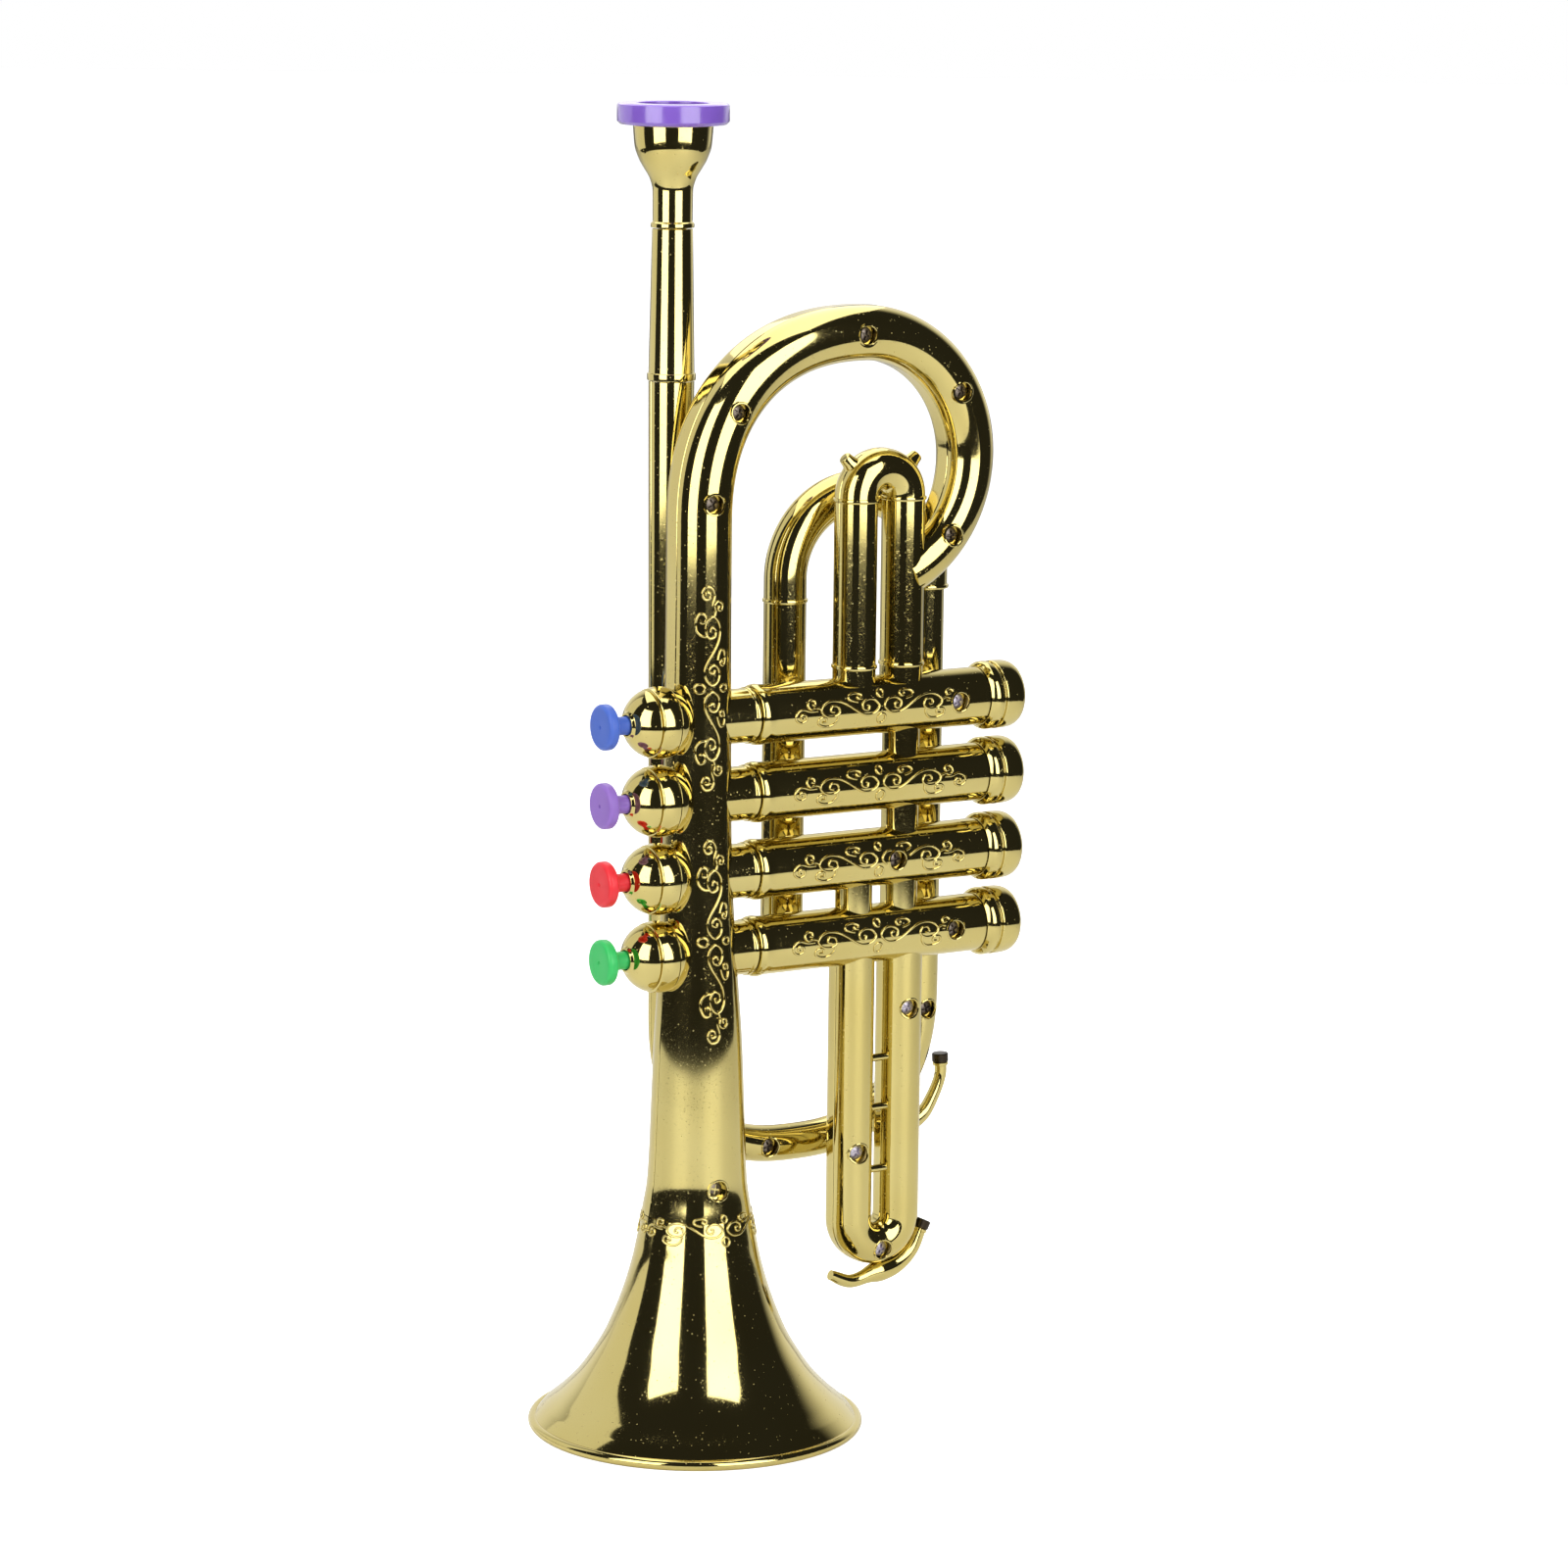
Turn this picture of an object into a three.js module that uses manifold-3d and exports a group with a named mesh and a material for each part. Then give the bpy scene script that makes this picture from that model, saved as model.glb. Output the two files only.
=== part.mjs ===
// A four-key toy trumpet, standing on its bell with the mouthpiece up, in millimetres.
// X runs along the valve casings away from the buttons, Y runs away from the viewer, Z runs up the bell.
import * as THREE from "three";
import { mergeVertices } from "three/addons/utils/BufferGeometryUtils.js";
import Module from "manifold-3d";

const wasm = await Module();
wasm.setup();

// Walls and fits
const WALL = 1.6; // wall of every plated moulding
const CLEARANCE = 0.3; // gap between pieces that touch
const SEAM = CLEARANCE / 2; // how far each half shell stops from the seam plane
const OVERRUN = 2; // how far a cut runs past the face it starts from
const MERGE_DISTANCE = 1e-4; // vertices closer than this are one

// Bell, which the whole toy stands on
const RIM_RADIUS = 48.1;
const RIM_BEAD = 1.5; // radius of the rolled edge
const RIM_FLAT = 1.8; // width of the flat ring under the rolled edge
const BELL_HEIGHT = 62.7;
const NECK_RADIUS = 15.7; // outer radius where the bell meets the tube
const NECK_SPIGOT = 12; // length of the sleeve that the tube closes on
// Height from rim to neck, and flare from neck radius to rim radius
const BELL_SHARES = [
  [1, 0],
  [0.888, 0.045],
  [0.796, 0.083],
  [0.703, 0.133],
  [0.611, 0.193],
  [0.518, 0.265],
  [0.424, 0.35],
  [0.332, 0.46],
  [0.239, 0.592],
  [0.145, 0.77],
  [0.09, 0.9],
];

// Bell tube and loop, in the seam plane
const TUBE_RADIUS = 8.25; // where the straight tube ends and the loop starts
const LOOP_END_RADIUS = 6.4;
const LOOP_TOP = 312.2; // height of the loop's centreline at its top
const LOOP_LEFT_RADIUS = 51.7;
const LOOP_RIGHT_RADIUS = 36.6;
const LOOP_SQUARENESS = 2.3; // of the left quarter; 2 would be round
const REAR_FLAT = 4.6; // depth of the straight side wall of the rear half
const REAR_ROUND_SHARE = 0.83; // depth of the rear half's round to its width
// Height from neck to loop, and widening from tube radius to neck radius
const LEG_SHARES = [
  [0, 1],
  [0.05, 0.81],
  [0.17, 0.66],
  [0.25, 0.6],
  [0.33, 0.41],
  [0.39, 0.24],
  [0.55, 0.1],
  [0.72, 0.045],
  [0.86, 0.01],
];

// Valves, which lie along X, one above the other
const VALVE_COUNT = 4;
const VALVE_PITCH = 22.3;
const LOWEST_VALVE = 138.4; // height of the lowest valve's axis
const STUB_RADIUS = 7.8;
const STUB_END = 15.6;
const CASING_RADIUS = 8.45;
const CASING_END = 92;
const CASING_RING = 0.55; // how far the casing's first ring stands out
const CASING_RING_LENGTH = 2.9;
const SPIGOT_LENGTH = 5;

// Key chambers: a ball beside each valve, closed by a screwed cap
const BALL_CENTRE = -14;
const BALL_RADIUS = 10.2;
const BALL_SEAM = -11.6; // where the cap meets the body
const CAP_COLLAR_RADIUS = 4.6;
const CAP_COLLAR = 1.1; // how far the collar stands out of the ball
const SEAT_X = -20.5; // inner face of the cap, which the seal rests on
const CHAMBER_FLOOR = -11; // face of the boss that carries the reed plate
const CHAMBER_FLOOR_RADIUS = 6.8;
const PORT_RADIUS = 3;

// Buttons, seals, springs and reed plates
const BUTTON_FACE = -32.6;
const BUTTON_RADIUS = 6.5;
const BUTTON_THICKNESS = 3.3;
const BUTTON_ROUND = 0.8;
const DIMPLE_RADIUS = 0.6;
const DIMPLE_DEPTH = 0.4;
const STEM_RADIUS = 2.6;
const STEM_SHOULDER_RADIUS = 3.9;
const STEM_SHOULDER = 1;
const SEAL_RADIUS = 5.2;
const SEAL_THICKNESS = 1.2;
const FLANGE_RADIUS = 5;
const FLANGE_THICKNESS = 1.2;
const SPRING_PIN_RADIUS = 1.6;
const SPRING_PIN = 1.3;
const SPRING_RADIUS = 4.2;
const SPRING_WIRE = 0.8;
const PLATE_THICKNESS = 0.8;
const PLATE_RADIUS = 6.5;
const REED_LENGTH = 6.4;
const REED_WIDTH = 2;
const REED_THICKNESS = 0.4;

// End caps of the casings
const END_CAP_RADIUS = 9.95;
const END_CAP_LENGTH = 12.2;
const END_CAP_GROOVE = 0.7;
// Length from the casing, and radius from casing radius to cap radius
const END_CAP_SHARES = [
  [0, 0.1],
  [0.06, 0.62],
  [0.14, 0.96],
  [0.28, 1],
];
const GROOVE_SHARES = [0.32, 0.37];
const DOME_SHARES = [
  [0.42, 1],
  [0.76, 0.99],
  [0.88, 0.94],
  [0.96, 0.84],
  [1, 0.68],
];

// Twin slide tubes in the seam plane: the short crook above the valves and the long slide below
const SLIDE_LEFT = 52;
const SLIDE_RIGHT = 67.3;
const SLIDE_RADIUS = 4.9;
const SLIDE_REAR_FLAT = 1.9;
const CROOK_REAR_FLAT = 5;
const CROOK_TOP = 276.7; // outer top of the upper crook
const SLIDE_BOTTOM = 39.7; // outer bottom of the lower slide
const FERRULE = 0.45; // how far the ring lines stand out
const FERRULE_LENGTH = 1.2;
const CROOK_FERRULES = [263.9, 217.5]; // heights of the crook's ring lines
const CROOK_FOOT_SHARE = 0.6; // how low the crook's feet reach on the casing
const STUD_RADIUS = 1.6;
const STUD_LENGTH = 5.4;
const BAR_RADIUS = 1;
const BAR_HEIGHTS = [101.6, 86.9, 68.4];

// Rear tubing, in a plane of its own behind the bell tube
const REAR_Y = 19.5;
const LEADPIPE_X = 0.8;
const REAR_LEG_X = 39;
const REAR_RIGHT_X = 87;
const LEADPIPE_TOP_RADIUS = 6.5;
const TUNING_RADIUS = 5.35;
const TUNING_BOTTOM = 73.9; // height of the bend's centreline at its lowest
const TUNING_TOP = 117.7; // where the bend starts
const TUNING_SQUARENESS = 2.5; // 2 would be an ellipse
const REAR_CROOK_RADIUS = 6.2;
const REAR_CROOK_SPRING = 240.3; // height where the rear crook's arch starts
const REAR_JOINT = 234.9; // height of the joint in the right leg
const REAR_LEG_FOOT = 133.7;
const SADDLE_RADIUS = 3.2;

// Mouthpiece, on the leadpipe's axis
const MOUTH_TOP = 376.7;
const MOUTH_RING_RADIUS = 15.8;
const MOUTH_RING_HEIGHT = 6;
const MOUTH_RING_EDGE = 1.3;
const MOUTH_OPENING = 10.3;
const CUP_RADIUS = 11.3;
const CUP_HEIGHT = 28.7; // from the ring down to the cup's lower ring
const CUP_THROAT = 2;
const CUP_DEPTH = 14;
const SHANK_RADIUS = 4.2;
const SHANK_LENGTH = 14;
const SLEEVE_TOP_RADIUS = 5.75;
const SLEEVE_FOOT_RADIUS = 6.5;
const SLEEVE_HEIGHT = 43.1; // from the cup's lower ring down to the leadpipe
const SLEEVE_RING = 2;
// Height down from the ring, and radius from shank to cup
const CUP_SHARES = [
  [0, 1],
  [0.2, 0.93],
  [0.33, 0.76],
  [0.42, 0.56],
  [0.52, 0.33],
  [0.64, 0.21],
  [0.94, 0.2],
];

// Screws, all driven from the front
const SCREW_HEAD_RADIUS = 2.4;
const SCREW_HEAD = 1.3;
const SCREW_SHANK_RADIUS = 1.1;
const SCREW_SHANK = 7;
const SCREW_WELL_RADIUS = 2.9; // bore of the recess above the head
const SCREW_RECESS = 1.8; // how deep the head lies below the surface
const SCREW_BOSS_RADIUS = 3.6;
const SCREW_FLOOR = 1.2;
const LOOP_SCREWS = [
  [-0.6, 266.9],
  [7.6, 292],
  [49.1, 312.1],
  [81.6, 294.8],
  [79.6, 253.5],
];
const BELL_SCREW = [-1.1, 9.2]; // from the bell's top
const VALVE_SCREWS = [81.8, 61.2, 81.5]; // places along the casings
const CASINGS_ABOVE_COUNTS = [0, 2, 3]; // casings above the one that each of them is in
const SLIDE_SCREWS = [
  [52, 74.7],
  [60.2, 44.8],
  [67.3, 116],
];
const REAR_SCREWS = [
  [33.1, 74.3],
  [87, 109.9],
];

// Finger hooks
const HOOK_RADIUS = 1.9;
const HOOK_TIP_RADIUS = 2.5;
const HOOK_TIP = 3.2;
// Along and up from the lower slide's left side, and from the tuning bend's lower right corner
const FRONT_HOOK = [
  [-6.8, -1.9],
  [0, -4.6],
  [7.6, -3.6],
  [15.3, -1],
  [20.2, 2.7],
  [24.4, 9.5],
];
const REAR_HOOK = [
  [-11.4, 6.2],
  [-4.6, 0.6],
  [1.4, 2.8],
  [5.4, 8.4],
  [7.8, 14.4],
  [7.7, 19.4],
];

// Facets
const TUBE_SIDES = 12;
const SMALL_SIDES = 12;
const ROUND_SIDES = 12;
const BELL_SIDES = 32;
const MOUTH_SIDES = 20;
const SCREW_SIDES = 8;

const GOLD = new THREE.MeshStandardMaterial({ color: 0xd9b23c, roughness: 0.16, metalness: 1 });
const CHROME = new THREE.MeshStandardMaterial({ color: 0xb9bcc0, roughness: 0.3, metalness: 1 });
const BRASS = new THREE.MeshStandardMaterial({ color: 0xb08a3a, roughness: 0.35, metalness: 1 });
const STEEL = new THREE.MeshStandardMaterial({ color: 0x8d9196, roughness: 0.35, metalness: 1 });
const RUBBER = new THREE.MeshStandardMaterial({ color: 0x2a2a2c, roughness: 0.9, metalness: 0 });
const plastic = (color) => new THREE.MeshStandardMaterial({ color, roughness: 0.35, metalness: 0 });
const BUTTON_COLOURS = [0x3f62c4, 0x9a6fd0, 0xe5303c, 0x35c468];
const MOUTH_COLOUR = 0x7f5cc6;

const trumpet = new THREE.Group();
const valveHeight = (index) => LOWEST_VALVE + (VALVE_COUNT - 1 - index) * VALVE_PITCH;
const valves = Array.from({ length: VALVE_COUNT }, (_, index) => index);
const loopCentreX = LOOP_LEFT_RADIUS;
const legTop = LOOP_TOP - LOOP_LEFT_RADIUS;
const slideCentre = (SLIDE_LEFT + SLIDE_RIGHT) / 2;
const slideSpread = (SLIDE_RIGHT - SLIDE_LEFT) / 2;
const cupBottom = MOUTH_TOP - MOUTH_RING_HEIGHT - CUP_HEIGHT;
const leadpipeTop = cupBottom - SLEEVE_HEIGHT;
const bellScrew = [BELL_SCREW[0], BELL_HEIGHT + BELL_SCREW[1]];

// Turns a closed geometry into a solid that can be joined and cut
function solid(geometry) {
  const bare = geometry.index ? geometry.toNonIndexed() : geometry.clone();
  bare.deleteAttribute("normal");
  bare.deleteAttribute("uv");
  const merged = mergeVertices(bare, MERGE_DISTANCE);
  const vertProperties = merged.attributes.position.array;
  return new wasm.Manifold(new wasm.Mesh({ numProp: 3, vertProperties, triVerts: merged.index.array }));
}

function addMesh(name, shape, material) {
  let geometry = shape;
  if (!shape.isBufferGeometry) {
    const made = shape.getMesh();
    geometry = new THREE.BufferGeometry();
    geometry.setAttribute("position", new THREE.BufferAttribute(made.vertProperties, 3));
    geometry.setIndex(new THREE.BufferAttribute(made.triVerts, 1));
    geometry.computeVertexNormals();
  }
  const mesh = new THREE.Mesh(geometry, material);
  mesh.name = name;
  trumpet.add(mesh);
  return mesh;
}

const join = (shapes) => shapes.reduce((sum, shape) => sum.add(shape));

// A cylinder between two places along X, Y or Z
function rod(axis, radius, from, to, at, sides = SMALL_SIDES) {
  const geometry = new THREE.CylinderGeometry(radius, radius, Math.abs(to - from), sides);
  const middle = (from + to) / 2;
  if (axis === "x") geometry.rotateZ(-Math.PI / 2).translate(middle, at[0], at[1]);
  if (axis === "y") geometry.translate(at[0], middle, at[1]);
  if (axis === "z") geometry.rotateX(Math.PI / 2).translate(at[0], at[1], middle);
  return solid(geometry);
}

function block(x0, x1, y0, y1, z0, z1) {
  const geometry = new THREE.BoxGeometry(x1 - x0, y1 - y0, z1 - z0);
  return solid(geometry.translate((x0 + x1) / 2, (y0 + y1) / 2, (z0 + z1) / 2));
}

// A turned piece: a closed profile of [distance along the axis, radius] spun about an axis along X
function turnedX(profile, height, sides = ROUND_SIDES) {
  const points = profile.map(([along, radius]) => new THREE.Vector2(radius, along));
  if (profile[0][1] > 0) points.push(points[0].clone());
  return new THREE.LatheGeometry(points, sides).rotateZ(-Math.PI / 2).translate(0, 0, height);
}

// The same about an upright axis, with the profile's distances as heights
function turnedZ(profile, x, y, sides) {
  const points = profile.map(([height, radius]) => new THREE.Vector2(radius, height));
  if (profile[0][1] > 0) points.push(points[0].clone());
  return new THREE.LatheGeometry(points, sides).rotateX(Math.PI / 2).translate(x, y, 0);
}

// Adds a direction of travel to each [x, z, radius] of a route that lies in one upright plane
function withDirections(route) {
  return route.map(([x, z, radius, share = 0], index) => {
    let before = index;
    let after = index;
    while (before > 0 && Math.hypot(route[before][0] - x, route[before][1] - z) < SEAM) before--;
    while (after < route.length - 1 && Math.hypot(route[after][0] - x, route[after][1] - z) < SEAM) after++;
    const dx = route[after][0] - route[before][0];
    const dz = route[after][1] - route[before][1];
    const length = Math.hypot(dx, dz);
    return { x, z, radius, share, tx: dx / length, tz: dz / length };
  });
}

// A full tube along a route: round in front, and in the rear half a straight wall and then a round.
// The section has a vertex each side of the seam, so that the halves part cleanly.
function tube(route, { y = 0, sides = SMALL_SIDES, grow = 0, flat = () => 0, round = () => 1 }) {
  const half = sides / 2;
  const rings = withDirections(route).map((station) => {
    const radius = station.radius + grow;
    const section = [];
    const put = (across, depth) =>
      section.push([station.x + across * station.tz, y + depth, station.z - across * station.tx]);
    const wall = flat(station);
    for (let step = 0; step <= half; step++) {
      const angle = (Math.PI * step) / half;
      put(radius * Math.cos(angle), -Math.max(radius * Math.sin(angle), SEAM));
    }
    if (wall > 0) put(-radius, SEAM);
    for (let step = 0; step <= half; step++) {
      const angle = (Math.PI * step) / half;
      const depth = wall + radius * round(station) * Math.sin(angle);
      put(-radius * Math.cos(angle), Math.max(depth, wall > 0 ? 2 * SEAM : SEAM));
    }
    if (wall > 0) put(radius, SEAM);
    return section;
  });
  return solid(loft(rings));
}

// A closed body through rings with the same number of points
function loft(rings) {
  const count = rings[0].length;
  const index = [];
  for (let ring = 0; ring < rings.length - 1; ring++) {
    for (let corner = 0; corner < count; corner++) {
      const a = ring * count + corner;
      const b = ring * count + ((corner + 1) % count);
      index.push(a, b + count, b, a, a + count, b + count);
    }
  }
  const last = (rings.length - 1) * count;
  for (let corner = 1; corner < count - 1; corner++) {
    index.push(0, corner, corner + 1, last, last + corner + 1, last + corner);
  }
  const geometry = new THREE.BufferGeometry();
  geometry.setAttribute("position", new THREE.Float32BufferAttribute(rings.flat(2), 3));
  geometry.setIndex(index);
  return geometry;
}

const run = (steps, place) => Array.from({ length: steps + 1 }, (_, step) => place(step / steps));

// An arc of a route, from one angle to another, counted from X towards Z
const arc = (x, z, radius, from, to, steps) =>
  run(steps, (share) => {
    const angle = from + (to - from) * share;
    return [x + radius * Math.cos(angle), z + radius * Math.sin(angle)];
  });

// A quarter of a squared round, from its left side to its top
const squaredQuarter = (x, z, radius, squareness, steps) =>
  run(steps, (share) => {
    const angle = (Math.PI / 2) * share;
    const reach = (part) => radius * Math.max(part, 0) ** (2 / squareness);
    return [x - reach(Math.cos(angle)), z + reach(Math.sin(angle))];
  });

// Parts a shell at the seam plane and gives the front and rear halves
function halves(shell, y = 0) {
  const reach = MOUTH_TOP;
  const front = block(-reach, reach, y - reach, y - SEAM, -reach, reach + reach);
  const rear = block(-reach, reach, y + SEAM, y + reach, -reach, reach + reach);
  return [shell.intersect(front), shell.intersect(rear)];
}

// Bell tube and loop
function bodyRoute() {
  const straight = LEG_SHARES.map(([rise, widen]) => [
    0,
    BELL_HEIGHT + CLEARANCE + (legTop - BELL_HEIGHT - CLEARANCE) * rise,
    TUBE_RADIUS + (NECK_RADIUS - TUBE_RADIUS) * widen,
    widen,
  ]);
  const rightZ = LOOP_TOP - LOOP_RIGHT_RADIUS;
  const endAngle = -Math.acos((SLIDE_RIGHT - loopCentreX) / LOOP_RIGHT_RADIUS);
  const left = squaredQuarter(loopCentreX, legTop, LOOP_LEFT_RADIUS, LOOP_SQUARENESS, 7);
  const right = arc(loopCentreX, rightZ, LOOP_RIGHT_RADIUS, Math.PI / 2, endAngle, 9);
  const bend = [...left, ...right.slice(1)];
  const taper = (share) => TUBE_RADIUS - (TUBE_RADIUS - LOOP_END_RADIUS) * share * share;
  return [...straight, ...bend.map(([x, z], step) => [x, z, taper(step / (bend.length - 1)), 0])];
}

const bodyTube = (grow) =>
  tube(bodyRoute(), {
    sides: TUBE_SIDES,
    grow,
    flat: ({ share }) => Math.max(REAR_FLAT * (1 - share) ** 2, CLEARANCE),
    round: ({ share }) => REAR_ROUND_SHARE + (1 - REAR_ROUND_SHARE) * share,
  });

// Depth of the body's surface in front of the seam at a height on the straight tube
function legRadius(height) {
  const route = bodyRoute();
  const above = route.findIndex(([x, z]) => x > 0 || z >= height);
  const [, z0, r0] = route[above - 1];
  const [, z1, r1] = route[above];
  return r0 + ((r1 - r0) * (height - z0)) / (z1 - z0);
}

// Upper crook: an arch on two legs that stand on the first casing
function crookRoute() {
  const foot = valveHeight(0) + CASING_RADIUS * CROOK_FOOT_SHARE;
  const spring = CROOK_TOP - SLIDE_RADIUS - slideSpread;
  const arch = arc(slideCentre, spring, slideSpread, Math.PI, 0, 8);
  return [[SLIDE_LEFT, foot], ...arch, [SLIDE_RIGHT, foot]].map(([x, z]) => [x, z, SLIDE_RADIUS]);
}

const crookTube = (grow) =>
  tube(crookRoute(), { sides: SMALL_SIDES, grow, flat: () => CROOK_REAR_FLAT });

// Lower slide: a long narrow U that hangs from the last casing
function slideRoute() {
  const head = valveHeight(VALVE_COUNT - 1);
  const spring = SLIDE_BOTTOM + SLIDE_RADIUS + slideSpread;
  const bend = arc(slideCentre, spring, slideSpread, Math.PI, 2 * Math.PI, 8);
  return [[SLIDE_LEFT, head], ...bend, [SLIDE_RIGHT, head]].map(([x, z]) => [x, z, SLIDE_RADIUS]);
}

const slideTube = (grow) =>
  tube(slideRoute(), { sides: SMALL_SIDES, grow, flat: () => SLIDE_REAR_FLAT });

// A ring line round one leg of a twin tube
function ferrule(x, height, flat, sides = SMALL_SIDES) {
  const route = [-FERRULE_LENGTH / 2, FERRULE_LENGTH / 2].map((off) => [x, height + off, SLIDE_RADIUS]);
  return tube(route, { sides, grow: FERRULE, flat: () => flat });
}

// Leadpipe, tuning bend and right leg, all one route in the rear plane
function leadpipeRoute() {
  const spigot = SLEEVE_TOP_RADIUS - WALL - CLEARANCE;
  const top = [
    [LEADPIPE_X, leadpipeTop + SPIGOT_LENGTH, spigot],
    [LEADPIPE_X, leadpipeTop, spigot],
    [LEADPIPE_X, leadpipeTop, LEADPIPE_TOP_RADIUS],
  ];
  const centre = (LEADPIPE_X + REAR_RIGHT_X) / 2;
  const spread = (REAR_RIGHT_X - LEADPIPE_X) / 2;
  const drop = TUNING_TOP - TUNING_BOTTOM;
  const power = 2 / TUNING_SQUARENESS;
  const bend = run(14, (share) => {
    const angle = Math.PI * share;
    const across = Math.sign(Math.cos(angle)) * Math.abs(Math.cos(angle)) ** power;
    return [centre - spread * across, TUNING_TOP - drop * Math.sin(angle) ** power, TUNING_RADIUS];
  });
  return [...top, ...bend, [REAR_RIGHT_X, REAR_JOINT - CLEARANCE, TUNING_RADIUS]];
}

const leadpipeTube = (grow) => tube(leadpipeRoute(), { y: REAR_Y, grow });

// Rear crook: an arch from the right leg to a left leg that ends behind the last casing
function rearCrookRoute() {
  const centre = (REAR_LEG_X + REAR_RIGHT_X) / 2;
  const spread = (REAR_RIGHT_X - REAR_LEG_X) / 2;
  const arch = arc(centre, REAR_CROOK_SPRING, spread, 0, Math.PI, 12);
  const foot = [REAR_LEG_X, REAR_LEG_FOOT];
  return [[REAR_RIGHT_X, REAR_JOINT], ...arch, foot].map(([x, z]) => [x, z, REAR_CROOK_RADIUS]);
}

const rearCrookTube = (grow) => tube(rearCrookRoute(), { y: REAR_Y, grow });

// Screw sites: x, height, the plane of the seam and the depth of the surface in front of it
function screwSites() {
  const loop = LOOP_SCREWS.map(([x, z], index) => {
    const share = index / LOOP_SCREWS.length;
    return { x, z, y: 0, depth: TUBE_RADIUS - (TUBE_RADIUS - LOOP_END_RADIUS) * share * share };
  });
  const bell = [{ x: bellScrew[0], z: bellScrew[1], y: 0, depth: legRadius(bellScrew[1]) }];
  const valve = VALVE_SCREWS.map((x, index) => {
    return { x, z: valveHeight(CASINGS_ABOVE_COUNTS[index]), y: 0, depth: CASING_RADIUS };
  });
  const slide = SLIDE_SCREWS.map(([x, z]) => ({ x, z, y: 0, depth: SLIDE_RADIUS }));
  const tuning = REAR_SCREWS.map(([x, z]) => ({ x, z, y: REAR_Y, depth: TUNING_RADIUS }));
  return { loop, bell, valve, slide, tuning };
}

// Gives a front half its screw wells, each a boss with a recess for the head and a hole for the shank
function withWells(front, sites, outer) {
  let piece = front;
  for (const { x, z, y, depth } of sites) {
    const surface = y - depth;
    const head = surface + SCREW_RECESS + SCREW_HEAD;
    const boss = rod("y", SCREW_BOSS_RADIUS, surface, head + SCREW_FLOOR, [x, z], SCREW_SIDES);
    piece = piece.add(boss.intersect(outer));
    piece = piece.subtract(rod("y", SCREW_WELL_RADIUS, surface - OVERRUN, head, [x, z], SCREW_SIDES));
    const hole = SCREW_SHANK_RADIUS + CLEARANCE;
    piece = piece.subtract(rod("y", hole, surface, y - SEAM + OVERRUN, [x, z], SCREW_SIDES));
  }
  return piece;
}

// Gives a rear half the posts that the screws bite into
function withPosts(rear, sites, outer) {
  let piece = rear;
  for (const { x, z, y, depth } of sites) {
    const start = Math.max(y + SEAM, y - depth + SCREW_RECESS + SCREW_HEAD + SCREW_FLOOR + CLEARANCE);
    const post = rod("y", SCREW_BOSS_RADIUS - WALL / 2, start, y + depth + REAR_FLAT, [x, z], SCREW_SIDES);
    piece = piece.add(post.intersect(outer));
    const tip = y - depth + SCREW_RECESS + SCREW_HEAD + SCREW_SHANK + CLEARANCE;
    const bore = SCREW_SHANK_RADIUS + CLEARANCE;
    piece = piece.subtract(rod("y", bore, start - OVERRUN, tip, [x, z], SCREW_SIDES));
  }
  return piece;
}

// A pan-head screw along Y, with its head in its well
function screw({ x, z, y, depth }) {
  const top = SCREW_RECESS;
  const under = top + SCREW_HEAD - CLEARANCE;
  const tip = under + SCREW_SHANK;
  const profile = [
    [top, 0],
    [top, SCREW_HEAD_RADIUS * 0.8],
    [top + SCREW_HEAD / 3, SCREW_HEAD_RADIUS],
    [under, SCREW_HEAD_RADIUS],
    [under, SCREW_SHANK_RADIUS],
    [tip, SCREW_SHANK_RADIUS],
    [tip, 0],
  ];
  const points = profile.map(([along, radius]) => new THREE.Vector2(radius, along));
  return solid(new THREE.LatheGeometry(points, SCREW_SIDES).translate(x, y - depth, z));
}

// A profile moved inwards by the wall, square to its slope
function inset(profile, wall) {
  return profile.map(([height, radius], index) => {
    const before = profile[Math.max(index - 1, 0)];
    const after = profile[Math.min(index + 1, profile.length - 1)];
    const rise = before[0] - after[0];
    const widen = after[1] - before[1];
    const length = Math.hypot(rise, widen);
    return [height - (wall * widen) / length, radius - (wall * rise) / length];
  });
}

function addBell() {
  const flare = RIM_RADIUS - RIM_BEAD - NECK_RADIUS;
  const outer = BELL_SHARES.map(([rise, widen]) => [BELL_HEIGHT * rise, NECK_RADIUS + flare * widen]);
  const bead = run(5, (share) => {
    const angle = Math.PI * (0.62 - 1.12 * share);
    return [RIM_BEAD + RIM_BEAD * Math.sin(angle), RIM_RADIUS - RIM_BEAD + RIM_BEAD * Math.cos(angle)];
  });
  const rim = [...bead, [0, RIM_RADIUS - RIM_BEAD - RIM_FLAT]];
  const inner = inset(outer, WALL).reverse();
  const spigotTop = BELL_HEIGHT + NECK_SPIGOT;
  const fit = (height) => (legRadius(height) - WALL) * Math.cos(Math.PI / TUBE_SIDES) - CLEARANCE;
  const neck = [
    [spigotTop, fit(spigotTop) - WALL],
    ...[1, 0.5, 0.2].map((share) => [BELL_HEIGHT + NECK_SPIGOT * share, fit(BELL_HEIGHT + NECK_SPIGOT * share)]),
    [BELL_HEIGHT, fit(BELL_HEIGHT + NECK_SPIGOT / 5)],
  ];
  const profile = [...neck, ...outer, ...rim, ...inner.slice(0, -1)];
  let bell = solid(turnedZ(profile.reverse(), 0, 0, BELL_SIDES));
  const [x, z] = bellScrew;
  const bore = SCREW_BOSS_RADIUS + CLEARANCE;
  bell = bell.subtract(rod("y", bore, -NECK_RADIUS, 0, [x, z], SCREW_SIDES));
  addMesh("bell", bell, GOLD);
}

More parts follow.
